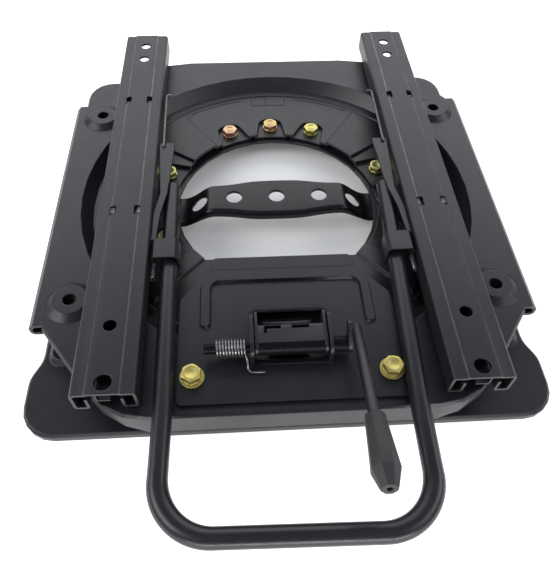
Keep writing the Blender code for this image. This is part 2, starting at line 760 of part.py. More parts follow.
def hex_bolt(x, y, seat, flange):
    """Hexagon bolt standing on its seat, with a flange under the head for the front pair."""
    head_low = seat + (1.8 if flange else 0.0)
    head_r = BOLT_FLATS / math.sqrt(3)
    bolt = cone(head_r, head_r, head_low, seat + BOLT_HEAD_H + (2.0 if flange else 0.0), x, y, sides=6)
    bolt = common(bolt, cone(head_r + 4.0, head_r - 1.0, seat, seat + BOLT_HEAD_H + 3.5, x, y, 12))
    if flange:
        bolt = join(bolt, cone(9.0, 8.4, seat, seat + 2.0, x, y, 24))
    return join(bolt, cone(BOLT_R, BOLT_R, seat - BOLT_LENGTH, seat + 1.0, x, y, SMALL_SIDES + 4))


def rivet(x, y, seat, under, radius, head_r):
    """Rivet with a pan head on its seat and a closing head under the stack."""
    body = turned([(0.0, seat + 2.6), (head_r * 0.6, seat + 2.6), (head_r * 0.93, seat + 1.6), (head_r, seat),
                   (radius, seat), (radius, under), (head_r * 0.9, under), (head_r * 0.8, under - 1.8),
                   (0.0, under - 1.8)], steps=12)
    return turn_to(body, Matrix.Translation((x, y, 0.0)))


def cable_strap():
    """Perforated strap across the hole, bent down to its feet and with turned-down edges."""
    foot = retainer_levels()[0] - PLATE_T - GAP
    fall = (STRAP_TOP - foot) / (STRAP_FOOT_X - STRAP_FLAT_X)
    lip_x = STRAP_FOOT_X - 6.0
    lip_z = STRAP_TOP - fall * (lip_x - STRAP_FLAT_X)
    path = [(STRAP_END_X, foot), (STRAP_FOOT_X, foot), (STRAP_FLAT_X, STRAP_TOP), (-STRAP_FLAT_X, STRAP_TOP),
            (-STRAP_FOOT_X, foot), (-STRAP_END_X, foot)]
    lip_path = [(lip_x, lip_z), (STRAP_FLAT_X, STRAP_TOP), (-STRAP_FLAT_X, STRAP_TOP), (-lip_x, lip_z)]
    lower = [(x, z - 1.0) for x, z in lip_path]
    half = [(STRAP_END_X, -STRAP_END_HALF, STRAP_END_R), (STRAP_END_X, STRAP_END_HALF, STRAP_END_R),
            (STRAP_FLAT_X, STRAP_END_HALF + 1.0, 40.0), (28.0, STRAP_MID_HALF, 50.0)]
    corners = half + [(-x, y, radius) for x, y, radius in half[:0:-1]]
    corners += [(-STRAP_END_X, -STRAP_END_HALF, STRAP_END_R), (-STRAP_FLAT_X, -STRAP_END_HALF - 1.0, 40.0),
                (-28.0, -STRAP_MID_HALF, 50.0), (28.0, -STRAP_MID_HALF, 50.0),
                (STRAP_FLAT_X, -STRAP_END_HALF - 1.0, 40.0)]
    plan = [(x, y + STRAP_Y) for x, y in rounded(corners, math.radians(15))]
    strap = common(bar_y(band(path, PLATE_T), 60.0, -60.0), slab(plan, 0.0, RAIL_TOP))
    lips = common(bar_y(band(lip_path, STRAP_LIP), 60.0, -60.0), slab(plan, 0.0, RAIL_TOP))
    hollow = common(bar_y(band(lower, STRAP_LIP + 4.0), 70.0, -70.0), slab(offset(plan, -2.2), 0.0, RAIL_TOP))
    strap = join(strap, cut(lips, hollow))
    for x in STRAP_HOLES_X:
        strap = cut(strap, cone(STRAP_HOLE_R, STRAP_HOLE_R, 0.0, RAIL_TOP, x, STRAP_Y))
    for side in (-1, 1):
        strap = cut(strap, cone(STRAP_RIVET_R + GAP, STRAP_RIVET_R + GAP, 0.0, RAIL_TOP, side * STRAP_RIVET_X,
                                STRAP_Y, sides=SMALL_SIDES))
    return strap


def latch_carrier():
    """Pressed plate that carries the swivel latch, with a raised rib, a window and two ears."""
    top = TABLE_TOP + GAP + PLATE_T
    lip_top = DISH_FLOOR_TOP + GAP + PLATE_T
    path = [(CARRIER_LIP_Y, lip_top), (CARRIER_REAR_Y + CARRIER_SLOPE_Y, lip_top), (CARRIER_REAR_Y, top),
            (CARRIER_FRONT_Y, top)]
    plan = rounded([(CARRIER_HALF_X, CARRIER_FRONT_Y, 4.0), (CARRIER_HALF_X, CARRIER_CORNER_Y, 8.0),
                    (CARRIER_REAR_X, CARRIER_REAR_Y, 6.0), (CARRIER_REAR_X, CARRIER_LIP_Y, 5.0),
                    (-CARRIER_REAR_X, CARRIER_LIP_Y, 5.0), (-CARRIER_REAR_X, CARRIER_REAR_Y, 6.0),
                    (-CARRIER_HALF_X, CARRIER_CORNER_Y, 8.0), (-CARRIER_HALF_X, CARRIER_FRONT_Y, 4.0)])
    carrier = common(bar_x(band(path, PLATE_T), -CARRIER_HALF_X - 5.0, CARRIER_HALF_X + 5.0),
                     slab(plan, 0.0, RAIL_TOP))
    outer = RIB_X + RIB_HALF
    inner = RIB_X - RIB_HALF
    rib = rounded([(outer, RIB_FRONT_Y, RIB_HALF - 1.0), (outer, RIB_REAR_Y + RIB_HALF, 16.0),
                   (-outer, RIB_REAR_Y + RIB_HALF, 16.0), (-outer, RIB_FRONT_Y, RIB_HALF - 1.0),
                   (-inner, RIB_FRONT_Y, RIB_HALF - 1.0), (-inner, RIB_REAR_Y - RIB_HALF, 6.0),
                   (inner, RIB_REAR_Y - RIB_HALF, 6.0), (inner, RIB_FRONT_Y, RIB_HALF - 1.0)])
    carrier = join(carrier, pressed(rib, [(top - 1.0, 0.0), (top + RIB_RISE, -1.8)]))
    carrier = cut(carrier, pressed(rib, [(top - PLATE_T - 1.0, -1.6), (top + RIB_RISE - PLATE_T, -2.8)]))
    window = rounded([(-WINDOW_HALF_X, WINDOW_FRONT_Y, 2.0), (WINDOW_HALF_X, WINDOW_FRONT_Y, 2.0),
                      (WINDOW_HALF_X, WINDOW_REAR_Y, 2.0), (-WINDOW_HALF_X, WINDOW_REAR_Y, 2.0)])
    carrier = cut(carrier, slab(window, DISH_FLOOR_TOP, RAIL_TOP))
    front = SHAFT_Y - 9.5
    ear = rounded([(front, top - 1.2, 0.0), (EAR_REAR_Y, top - 1.2, 0.0), (EAR_REAR_Y - 2.0, top + 5.0, 3.0),
                   (EAR_REAR_Y - 16.0, EAR_TOP, 6.0), (front, EAR_TOP, 8.0)])
    for side in (-1, 1):
        low = side * EAR_X - PLATE_T / 2
        carrier = join(carrier, bar_x(ear, low, low + PLATE_T))
        carrier = cut(carrier, cone(BOLT_R + GAP, BOLT_R + GAP, 0.0, RAIL_TOP, side * FRONT_BOLT_X, FRONT_BOLT_Y,
                                    sides=SMALL_SIDES))
    bore = SHAFT_R + GAP
    return cut(carrier, rod((-40.0, SHAFT_Y, SHAFT_Z), (40.0, SHAFT_Y, SHAFT_Z), bore))


def latch_pawl():
    """Folded pawl: a rolled eye on the shaft, a slotted web and a tooth that drops into the base."""
    tooth_low = BASE_FLANGE_TOP + TOOTH_CLEAR
    path = [(PAWL_REAR_Y, tooth_low), (PAWL_REAR_Y, PAWL_TOP - 3.0), (PAWL_REAR_Y - 3.0, PAWL_TOP),
            (SHAFT_Y + 1.0, PAWL_TOP)]
    pawl = bar_x(band(path, PLATE_T), -PAWL_HALF_X, PAWL_HALF_X)
    shoulder = TABLE_TOP + 1.0
    for side in (-1, 1):
        inner = side * PAWL_TOOTH_X
        outer = side * (PAWL_HALF_X + 5.0)
        pawl = cut(pawl, block((min(inner, outer), PAWL_REAR_Y - 20.0, 0.0),
                               (max(inner, outer), PAWL_REAR_Y + 20.0, shoulder)))
    pawl = join(pawl, rod((-PAWL_HALF_X, SHAFT_Y, SHAFT_Z), (PAWL_HALF_X, SHAFT_Y, SHAFT_Z), SLEEVE_R))
    pawl = cut(pawl, rod((-40.0, SHAFT_Y, SHAFT_Z), (40.0, SHAFT_Y, SHAFT_Z), SHAFT_R + GAP))
    for side in (-1, 1):
        inner = side * 3.5
        outer = side * 17.0
        pawl = cut(pawl, block((min(inner, outer), PAWL_REAR_Y - 12.0, PAWL_TOP - 5.0),
                               (max(inner, outer), PAWL_REAR_Y - 9.0, PAWL_TOP + 5.0)))
    return pawl


def latch_shaft():
    return rod((SHAFT_LEFT_X, SHAFT_Y, SHAFT_Z), (SHAFT_RIGHT_X, SHAFT_Y, SHAFT_Z), SHAFT_R)


def latch_bush():
    start = EAR_X + PLATE_T / 2 + GAP
    end = SHAFT_RIGHT_X - HUB_T - GAP
    bush = rod((start, SHAFT_Y, SHAFT_Z), (end, SHAFT_Y, SHAFT_Z), SHAFT_R + 2.2)
    return cut(bush, rod((0.0, SHAFT_Y, SHAFT_Z), (60.0, SHAFT_Y, SHAFT_Z), SHAFT_R + GAP))


def lever_line():
    tail = Vector(LEVER_TAIL)
    tip = Vector(LEVER_TIP)
    return tail, tip, (tip - tail).normalized()


def latch_lever():
    """Lever rod with a flat hub on the shaft's end."""
    tail, tip, way = lever_line()
    end = tip - way * (GRIP_NOSE + 2.0)
    lever = rod(tail, end, LEVER_R, sides=16)
    up = Vector((tail.y - SHAFT_Y, tail.z - SHAFT_Z)).normalized()
    across = Vector((-up.y, up.x))
    shaft = Vector((SHAFT_Y, SHAFT_Z))
    top = Vector((tail.y, tail.z))
    hub = [shaft - across * 6.5 - up * 6.5, shaft + across * 6.5 - up * 6.5,
           top + across * 4.0 + up * 4.0, top - across * 4.0 + up * 4.0]
    outline = rounded([(*hub[0], 6.0), (*hub[1], 6.0), (*hub[2], 3.0), (*hub[3], 3.0)])
    if (hub[1] - hub[0]).cross(hub[2] - hub[1]) < 0:
        outline = outline[::-1]
    lever = join(lever, bar_x(outline, SHAFT_RIGHT_X - HUB_T, SHAFT_RIGHT_X))
    return cut(lever, rod((20.0, SHAFT_Y, SHAFT_Z), (60.0, SHAFT_Y, SHAFT_Z), SHAFT_R + GAP))


def latch_grip():
    """Eight-sided plastic grip, widest near its blunt nose, with a small hole at the tip."""
    tip, way = lever_line()[1:]
    bore = (LEVER_R + GAP) / math.cos(math.pi / 8) + 0.1
    wide = GRIP_LENGTH - GRIP_NOSE
    grip = turned([(bore, 0.0), (GRIP_START_R, 0.0), (GRIP_WIDE_R, wide), (GRIP_TIP_R, GRIP_LENGTH),
                   (1.6, GRIP_LENGTH), (1.6, wide), (bore, wide)], steps=8)
    spin = Vector((0, 0, 1)).rotation_difference(way).to_matrix().to_4x4()
    return turn_to(grip, Matrix.Translation(tip - way * GRIP_LENGTH) @ spin)


def torsion_spring():
    """Return spring round the shaft's left end, with a leg hooked on the carrier."""
    points = []
    per_turn = 8
    total = TORSION_TURNS * per_turn
    for number in range(total + 1):
        angle = 2 * math.pi * number / per_turn + math.pi
        x = TORSION_LEFT_X + (TORSION_RIGHT_X - TORSION_LEFT_X) * number / total
        points.append((x, SHAFT_Y + TORSION_R * math.cos(angle), SHAFT_Z + TORSION_R * math.sin(angle)))
    floor = TABLE_TOP + GAP + PLATE_T + GAP + TORSION_WIRE_R
    x = TORSION_RIGHT_X + 1.0
    points += [(x, SHAFT_Y - TORSION_R - 1.0, SHAFT_Z - 4.0), (x, SHAFT_Y - 13.0, floor + 1.5),
               (x + 1.5, SHAFT_Y - 15.0, floor), (x + 14.0, SHAFT_Y - 15.5, floor)]
    return wire(points, TORSION_WIRE_R, 0)


def rail_channel(side):
    """Upper slide rail: a C-channel with hooked lips, bores, slots and a stop tab at its front end."""
    shoulder = RAIL_TOP - RAIL_STRIP_STEP
    low = RAIL_TOP - RAIL_DEPTH
    half = [(RAIL_HOOK_X, RAIL_HOOK_TOP), (RAIL_HOOK_X, low), (RAIL_HALF - 1.5, low), (RAIL_HALF, low + 1.5),
            (RAIL_HALF, shoulder - RAIL_CHAMFER), (RAIL_HALF - RAIL_CHAMFER, shoulder),
            (RAIL_STRIP_HALF + RAIL_STRIP_STEP, shoulder), (RAIL_STRIP_HALF, RAIL_TOP)]
    path = half + [(-x, z) for x, z in half[::-1]]
    rail = bar_y(band(path, RAIL_T), RAIL_REAR_Y, RAIL_FRONT_Y)
    tab = band([(-6.0, RAIL_TOP - 1.5), (-6.0, RAIL_TOP - 9.0), (4.0, RAIL_TOP - 9.0)], RAIL_T)
    rail = join(rail, bar_y(tab, RAIL_FRONT_Y + 12.0, RAIL_FRONT_Y + 0.4))
    for y, radius in RAIL_HOLES:
        rail = cut(rail, cone(radius, radius, RAIL_TOP - 6.0, RAIL_TOP + 5.0, 0.0, y))
    wide, long = RAIL_WINDOW_HALF
    for y in RAIL_WINDOWS_Y:
        for x in (-RAIL_WINDOW_X, RAIL_WINDOW_X):
            rail = cut(rail, block((x - wide, y - long, RAIL_TOP - 5.0), (x + wide, y + long, RAIL_TOP + 5.0)))
    wall = RAIL_HALF - RAIL_T - 1.0
    rail = cut(rail, rod((wall, PIVOT_Y, PIVOT_Z), (RAIL_HALF + 5.0, PIVOT_Y, PIVOT_Z), PIN_R + GAP))
    if side > 0:
        rail = mirrored(rail)
    return turn_to(rail, Matrix.Translation((side * RAIL_X, 0.0, 0.0)))


def inner_rail(side):
    """Lower slide rail: a hat section riveted to the plate, its flanges curled into the channel."""
    floor = TABLE_TOP + GAP
    wall = INNER_WALL_X + RAIL_T
    half = [(INNER_LIP_X, INNER_LIP_BOTTOM), (INNER_LIP_X, INNER_TOP), (INNER_WALL_X, INNER_TOP),
            (INNER_WALL_X, floor + RAIL_T)]
    far = [(wall, floor), (wall, INNER_TOP - RAIL_T), (INNER_LIP_X - RAIL_T, INNER_TOP - RAIL_T),
           (INNER_LIP_X - RAIL_T, INNER_LIP_BOTTOM)]
    section = far + half + [(-x, z) for x, z in half[::-1]] + [(-x, z) for x, z in far[::-1]]
    rail = bar_y(section, INNER_HALF_Y, -INNER_HALF_Y)
    for end in (-1, 1):
        rail = cut(rail, cone(RIVET_R + GAP, RIVET_R + GAP, 30.0, 45.0, 0.0, end * INNER_RIVET_Y, 12))
    return turn_to(rail, Matrix.Translation((side * RAIL_X, 0.0, 0.0)))


def glide_liner(side, edge):
    """Plastic liner over a flange of the inner rail, between it and the channel."""
    top = RAIL_TOP - RAIL_STRIP_STEP - RAIL_T - GAP
    outer = RAIL_HALF - RAIL_T - GAP
    inner = INNER_LIP_X + GAP
    low = INNER_TOP + GAP
    section = [(INNER_WALL_X + 0.7, low), (inner, low), (inner, INNER_LIP_BOTTOM + GAP),
               (outer, INNER_LIP_BOTTOM + GAP), (outer, top - 1.8), (outer - 1.8, top), (INNER_WALL_X + 0.7, top)]
    liner = bar_y(section, LINER_HALF_Y, -LINER_HALF_Y)
    if edge < 0:
        liner = mirrored(liner)
    return turn_to(liner, Matrix.Translation((side * RAIL_X, 0.0, 0.0)))


def handle_line(rear):
    """Middle line of the U-shaped handle, from one rear end round the front to the other."""
    points = [(-HANDLE_X, rear, HANDLE_Z)]
    for corner in (-1, 1):
        start = 180.0 if corner < 0 else 270.0
        centre_x = corner * (HANDLE_FRONT_X - HANDLE_BEND_R)
        for number in range(7):
            angle = math.radians(start + 15.0 * number)
            points.append((centre_x + HANDLE_BEND_R * math.cos(angle),
                           HANDLE_FRONT_Y + HANDLE_BEND_R + HANDLE_BEND_R * math.sin(angle), HANDLE_Z))
    points.append((HANDLE_X, rear, HANDLE_Z))
    return points


def handle_tube():
    """Release handle bent from one tube, open at its rear ends."""
    tube = wire(handle_line(HANDLE_REAR_Y), HANDLE_R, 4)
    return cut(tube, wire(handle_line(HANDLE_REAR_Y + 2.0), HANDLE_R - HANDLE_WALL, 4))


def pivot_clip(side):
    """Folded clip over the handle's leg, pinned to the rail's inner wall."""
    share = (HANDLE_REAR_Y - CLIP_FRONT_Y) / (HANDLE_REAR_Y - HANDLE_FRONT_Y - HANDLE_BEND_R)
    inner = HANDLE_X + (HANDLE_FRONT_X - HANDLE_X) * share - HANDLE_R - GAP - CLIP_T
    outer = RAIL_X - RAIL_HALF - 0.6
    low = HANDLE_Z - 3.0
    top = CLIP_TOP
    path = [(-inner, low), (-inner, top - CLIP_CORNER), (-inner - CLIP_CORNER, top), (CLIP_CORNER - outer, top),
            (-outer, top - CLIP_CORNER), (-outer, low)]
    clip = bar_y(band(path, CLIP_T), CLIP_REAR_Y, CLIP_FRONT_Y)
    clip = cut(clip, rod((-outer - 3.0, PIVOT_Y, PIVOT_Z), (3.5 - outer, PIVOT_Y, PIVOT_Z), PIN_R + GAP))
    return mirrored(clip) if side > 0 else clip


def pivot_pin(side):
    """Headed pin through the clip and the rail's wall."""
    wall = RAIL_X - RAIL_HALF
    plate = wall - 0.6 - CLIP_T
    shank = rod((-wall - RAIL_T + 0.1, PIVOT_Y, PIVOT_Z), (0.5 - plate, PIVOT_Y, PIVOT_Z), PIN_R, 16)
    head = rod((GAP - plate, PIVOT_Y, PIVOT_Z), (GAP + 1.9 - plate, PIVOT_Y, PIVOT_Z), PIN_HEAD_R, 16)
    pin = join(shank, head)
    return mirrored(pin) if side > 0 else pin


def release_arm(side):
    """Flat arm from the clip to the rear, widened behind the tube's end, with a hole for the wire."""
    outer = RAIL_X - RAIL_HALF - 0.6
    front = CLIP_REAR_Y + GAP
    neck_outer, neck_inner = ARM_NECK
    outline = [(-outer, front), (3.4 - outer, front), (5.5 - outer, ARM_KINK_Y), (-neck_inner, ARM_NECK_Y),
               (-HANDLE_X + 2.5, ARM_REAR_Y), (-outer, ARM_REAR_Y), (-neck_outer, ARM_NECK_Y),
               (-outer, ARM_KINK_Y)]
    corners = [(x, y, radius) for (x, y), radius in zip(outline, (0, 0, 6, 6, 1.5, 3, 6, 6))]
    hole = circle(WIRE_R + GAP, ARM_HOLE_X, ARM_REAR_Y - 5.0, 12)
    arm = slab(rounded(corners), ARM_Z, ARM_Z + ARM_T, holes=(hole,))
    return mirrored(arm) if side > 0 else arm


def release_wire(side):
    """Bent wire hooked through the arm's rear end and along the rail's inner wall."""
    y = ARM_REAR_Y - 5.0
    top = ARM_Z + ARM_T + GAP + WIRE_R
    points = [(ARM_HOLE_X, y, ARM_Z - 2.5), (ARM_HOLE_X, y, top - 0.6), (ARM_HOLE_X, y + 1.2, top),
              (ARM_HOLE_X, y + 5.0, top), (ARM_HOLE_X - 0.9, WIRE_REAR_Y - 4.0, top),
              (ARM_HOLE_X, WIRE_REAR_Y - 1.0, top), (ARM_HOLE_X + 3.5, WIRE_REAR_Y, top)]
    form = wire(points, WIRE_R)
    return mirrored(form) if side > 0 else form


def clip_spring(side):
    """Small coil spring in front of the clip, beside the rail's wall."""
    x0 = -(RAIL_X - RAIL_HALF - GAP - COIL_R - COIL_WIRE_R)
    start = CLIP_FRONT_Y - GAP - COIL_WIRE_R
    points = []
    per_turn = 8
    total = COIL_TURNS * per_turn
    for number in range(total + 1):
        angle = 2 * math.pi * number / per_turn
        y = start + (COIL_FRONT_Y - start) * number / total
        points.append((x0 + COIL_R * math.cos(angle), y, PIVOT_Z - 1.0 + COIL_R * math.sin(angle)))
    form = wire(points, COIL_WIRE_R, 0)
    return mirrored(form) if side > 0 else form


clear_scene()
PARTS = new_collection("seat_swivel_base")
WORK = new_collection("cutters")

BLACK_COAT = paint("black_coat", (0.035, 0.037, 0.042), 0.42, 0.25)
RAIL_COAT = paint("rail_coat", (0.045, 0.047, 0.053), 0.4, 0.3)
ZINC = paint("yellow_zinc", (0.62, 0.5, 0.2), 0.35, 0.9)
STEEL = paint("dark_spring_steel", (0.16, 0.16, 0.17), 0.3, 0.9)
RUBBER = paint("grey_grip", (0.07, 0.07, 0.072), 0.65, 0.0)
NYLON = paint("glide_nylon", (0.55, 0.55, 0.52), 0.5, 0.0)

SWIVEL = axis_empty("swivel_axis", 0.0, CENTRE_Y, TABLE_TOP)
LATCH = axis_empty("latch_axis", 0.0, SHAFT_Y, SHAFT_Z, SWIVEL)
SLIDE = axis_empty("slide_frame", 0.0, 0.0, RAIL_TOP, SWIVEL)
LIFT = axis_empty("handle_axis", 0.0, PIVOT_Y, PIVOT_Z, SLIDE)

finish(base_plate(), "base_plate", BLACK_COAT, None)
finish(upper_glide(), "upper_glide_ring", NYLON, SWIVEL)
finish(lower_glide(), "lower_glide_ring", NYLON, SWIVEL)
finish(retainer_ring(), "retainer_ring", BLACK_COAT, SWIVEL)
finish(turntable_plate(), "turntable_plate", BLACK_COAT, SWIVEL)

POCKET_TOP = DISH_FLOOR_TOP - POCKET_DEPTH
for number, degrees in enumerate(BOLT_ANGLES):
    finish(hex_bolt(*ring_place(degrees), POCKET_TOP + GAP, False), f"ring_bolt_{number + 1}", ZINC, SWIVEL)
CARRIER_TOP = TABLE_TOP + GAP + PLATE_T
for name, side in RAIL_SIDES:
    finish(hex_bolt(side * FRONT_BOLT_X, FRONT_BOLT_Y, CARRIER_TOP + GAP, True), f"carrier_bolt_{name}", ZINC,
           SWIVEL)

finish(cable_strap(), "cable_strap", BLACK_COAT, SWIVEL)
for name, side in RAIL_SIDES:
    stack = retainer_levels()[0] - 2.0 * (PLATE_T + GAP)
    finish(rivet(side * STRAP_RIVET_X, STRAP_Y, POCKET_TOP + GAP, stack, STRAP_RIVET_R, 5.5),
           f"strap_rivet_{name}", BLACK_COAT, SWIVEL)

finish(latch_carrier(), "latch_carrier", BLACK_COAT, SWIVEL)
finish(torsion_spring(), "torsion_spring", STEEL, SWIVEL)
finish(latch_shaft(), "latch_shaft", BLACK_COAT, LATCH)
finish(latch_pawl(), "latch_pawl", BLACK_COAT, LATCH)
finish(latch_bush(), "latch_bush", STEEL, LATCH)
finish(latch_lever(), "latch_lever", BLACK_COAT, LATCH)
finish(latch_grip(), "latch_grip", RUBBER, LATCH)

for name, side in RAIL_SIDES:
    finish(inner_rail(side), f"inner_rail_{name}", RAIL_COAT, SWIVEL)
    finish(glide_liner(side, 1), f"glide_liner_{name}_right", NYLON, SWIVEL)
    finish(glide_liner(side, -1), f"glide_liner_{name}_left", NYLON, SWIVEL)
    for end_name, end in (("front", -1), ("rear", 1)):
        seat = TABLE_TOP + GAP + RAIL_T + GAP
        finish(rivet(side * RAIL_X, end * INNER_RIVET_Y, seat, TABLE_TOP - PLATE_T - GAP, RIVET_R, 6.5),
               f"rail_rivet_{name}_{end_name}", RAIL_COAT, SWIVEL)
    finish(rail_channel(side), f"rail_channel_{name}", RAIL_COAT, SLIDE)
    finish(pivot_pin(side), f"pivot_pin_{name}", STEEL, SLIDE)
    finish(pivot_clip(side), f"pivot_clip_{name}", BLACK_COAT, LIFT)
    finish(release_arm(side), f"release_arm_{name}", BLACK_COAT, LIFT)
    finish(release_wire(side), f"release_wire_{name}", STEEL, LIFT)
    finish(clip_spring(side), f"clip_spring_{name}", STEEL, LIFT)
finish(handle_tube(), "handle_tube", BLACK_COAT, LIFT)
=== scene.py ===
"""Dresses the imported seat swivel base: finishes for its plates and finer meshes for its small parts."""
import json
import math

import bmesh
import bpy
from bpy.props import FloatProperty, IntProperty, PointerProperty
from bpy.types import Operator, Panel, PropertyGroup
from mathutils import Matrix, Vector


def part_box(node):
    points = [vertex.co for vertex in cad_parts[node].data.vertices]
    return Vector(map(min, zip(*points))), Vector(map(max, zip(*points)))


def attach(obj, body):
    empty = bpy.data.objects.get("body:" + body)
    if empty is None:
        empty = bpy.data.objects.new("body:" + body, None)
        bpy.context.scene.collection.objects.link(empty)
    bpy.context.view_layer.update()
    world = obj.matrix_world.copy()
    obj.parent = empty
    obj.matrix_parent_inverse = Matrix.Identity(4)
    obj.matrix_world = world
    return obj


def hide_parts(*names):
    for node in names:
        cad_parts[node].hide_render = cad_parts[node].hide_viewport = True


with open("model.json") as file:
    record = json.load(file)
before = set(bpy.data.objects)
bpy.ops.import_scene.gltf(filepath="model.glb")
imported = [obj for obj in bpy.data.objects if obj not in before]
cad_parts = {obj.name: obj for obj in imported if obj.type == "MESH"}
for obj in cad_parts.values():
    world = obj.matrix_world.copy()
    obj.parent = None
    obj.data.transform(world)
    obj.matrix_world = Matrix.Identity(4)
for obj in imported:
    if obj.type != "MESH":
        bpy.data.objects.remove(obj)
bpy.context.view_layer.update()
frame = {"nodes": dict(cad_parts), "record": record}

bl_info = {
    "name": "Seat swivel base",
    "version": (1, 0, 0),
    "blender": (4, 5, 0),
    "location": "View3D > Sidebar > Swivel",
    "description": "Finishes and fine parts for a seat swivel base with slide rails",
    "category": "Object",
}

MM = 0.001
SIDES = (("left", -1.0), ("right", 1.0))
WHITE = (1.0, 1.0, 1.0, 1.0)
MATERIALS = {}

# The swivel's axis in the frame's millimetres. The pieces' millimetres run from the point on the floor
# between the four bosses, which is a little in front of the axis. Stage and shaders are in metres.
SWIVEL_BACK = 3.5
AXIS = sum((Vector(corner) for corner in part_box("upper_glide_ring")), Vector()) / 2 / MM
MIDDLE = Vector((AXIS.x, AXIS.y - SWIVEL_BACK, 0.0))

# Holes along a rail's middle as (y, radius), its windows as (x from the middle, y), and how far its
# pressed steps lie from the middle.
RAIL_HOLES = ((204.8, 4.9), (181.0, 4.9), (-151.2, 4.9), (-196.3, 6.2))
RAIL_WINDOWS = [(across, y) for y in (111.0, -37.9) for across in (-10.0, 10.0)]
RAIL_STEP_X = 11.6
BOSSES = [(x, y) for x in (-168.5, 168.5) for y in (-113.4, 113.4)]
# Ends of the lever with its grip, and how far the retaining ring's nuts reach from the axis.
LEVER_TAIL = Vector((46.3, -160.0, 60.5))
LEVER_TIP = Vector((43.1, -285.8, 92.4))
NUT_REACH = 118.0


# Shader expressions.

class Value:
    """A shader socket that takes part in Python arithmetic by adding Math nodes."""

    def __init__(self, tree, socket):
        self.tree = tree
        self.socket = socket

    def math(self, operation, *terms):
        return self.tree.node("ShaderNodeMath", {"operation": operation}, dict(enumerate(terms)))

    def __add__(self, other):
        return self.math("ADD", self, other)

    __radd__ = __add__

    def __sub__(self, other):
        return self.math("SUBTRACT", self, other)

    def __rsub__(self, other):
        return self.math("SUBTRACT", other, self)

    def __mul__(self, other):
        return self.math("MULTIPLY", self, other)

    __rmul__ = __mul__

    def __pow__(self, other):
        return self.math("POWER", self, other)

    def __abs__(self):
        return self.math("ABSOLUTE", self)

    def clamp(self):
        return self.math("MINIMUM", self.math("MAXIMUM", self, 0.0), 1.0)

    def band(self, low, high):
        """Rises from 0 at low to 1 at high."""
        return ((self - low) * (1.0 / (high - low))).clamp()


class Tree:
    """Adds nodes to the tree of a material, of the world or of a modifier."""

    def __init__(self, tree):
        self.tree = tree

    def feed(self, socket, term):
        """Links a value to a socket, or sets the socket to a plain number or colour."""
        if isinstance(term, Value):
            self.tree.links.new(term.socket, socket)
        else:
            socket.default_value = term

    def node(self, kind, settings=None, sockets=None, output=0):
        """Adds a node: settings first, then values or links of its sockets. Gives one of its outputs."""
        node = self.tree.nodes.new(kind)
        for key, setting in (settings or {}).items():
            setattr(node, key, setting)
        for key, term in (sockets or {}).items():
            self.feed(node.inputs[key], term)
        return Value(self, node.outputs[output])

    def blended(self, factor, first, second):
        """Mix of two shaders."""
        return self.node("ShaderNodeMixShader", sockets={0: factor, 1: first, 2: second})


class Finish(Tree):
    """A Principled material under construction."""

    def __init__(self, name):
        self.material = bpy.data.materials.new(name)
        self.material.use_nodes = True
        super().__init__(self.material.node_tree)
        self.shader = self.tree.nodes["Principled BSDF"]

    def set(self, name, term):
        self.feed(self.shader.inputs[name], term)

    def place(self):
        """Object coordinates."""
        return self.node("ShaderNodeTexCoord", output="Object")

    def parts(self):
        """Object coordinates as three numbers."""
        split = self.node("ShaderNodeSeparateXYZ", sockets={0: self.place()})
        return [Value(self, socket) for socket in split.socket.node.outputs]

    def from_axis(self):
        """Distance from the swivel's axis."""
        x, y, z = self.parts()
        back = y - AXIS.y * MM
        return (x * x + back * back) ** 0.5

    def upward(self):
        """How far the surface faces up, from -1 to 1."""
        normal = self.node("ShaderNodeNewGeometry", output="Normal")
        return self.node("ShaderNodeSeparateXYZ", sockets={0: normal}, output="Z")

    def noise(self, scale, detail=2.0, rough=0.5):
        sockets = {"Vector": self.place(), "Scale": scale, "Detail": detail, "Roughness": rough}
        return self.node("ShaderNodeTexNoise", sockets=sockets)

    def mix(self, factor, first, second):
        """Mix of two colours, which are the node's inputs 6 and 7 and its output 2."""
        return self.node("ShaderNodeMix", {"data_type": "RGBA"}, {0: factor, 6: first, 7: second}, 2)

    def edges(self, radius):
        """Rounded normal of the edges, and how far it leans away from the plain one."""
        rounded = self.node("ShaderNodeBevel", {"samples": 6}, {"Radius": radius})
        plain = self.node("ShaderNodeNewGeometry", output="Normal")
        along = self.node("ShaderNodeVectorMath", {"operation": "DOT_PRODUCT"}, {0: rounded, 1: plain},
                          "Value")
        return rounded, 1.0 - along

    def bump(self, height, distance, strength, **normal):
        """Feeds the normal from a height. A rounded one may be given as Normal."""
        sockets = {"Height": height, "Distance": distance, "Strength": strength, **normal}
        self.set("Normal", self.node("ShaderNodeBump", sockets=sockets))


def grey(value, blue=0.0):
    """A grey with a share more blue in it."""
    return (value, value * (1.0 + blue * 0.4), value * (1.0 + blue), 1.0)


def scaled(colour, red, green, blue):
    return (colour[0] * red, colour[1] * green, colour[2] * blue, 1.0)


def step_highlights(paint):
    """A painted highlight where the pressed steps run along both rails, broken up as paint that wears through
    is, and fainter at the front.
    """
    x, y, z = paint.parts()
    top = near("rail_channel_right")[1].z
    middle = centre("rail_channel_right").x * MM
    line = 1.0 - abs(abs(abs(x) - middle) - RAIL_STEP_X * MM).band(0.2 * MM, 0.8 * MM)
    upper = z.band((top - 1.6) * MM, (top - 1.2) * MM)
    broken = paint.noise(scale=90.0, detail=4.0, rough=0.6).band(0.3, 0.6)
    rear = (y - MIDDLE.y * MM).band(-0.15, 0.12)
    return line * upper * (0.35 + broken * 0.65) * (0.3 + rear * 0.7)


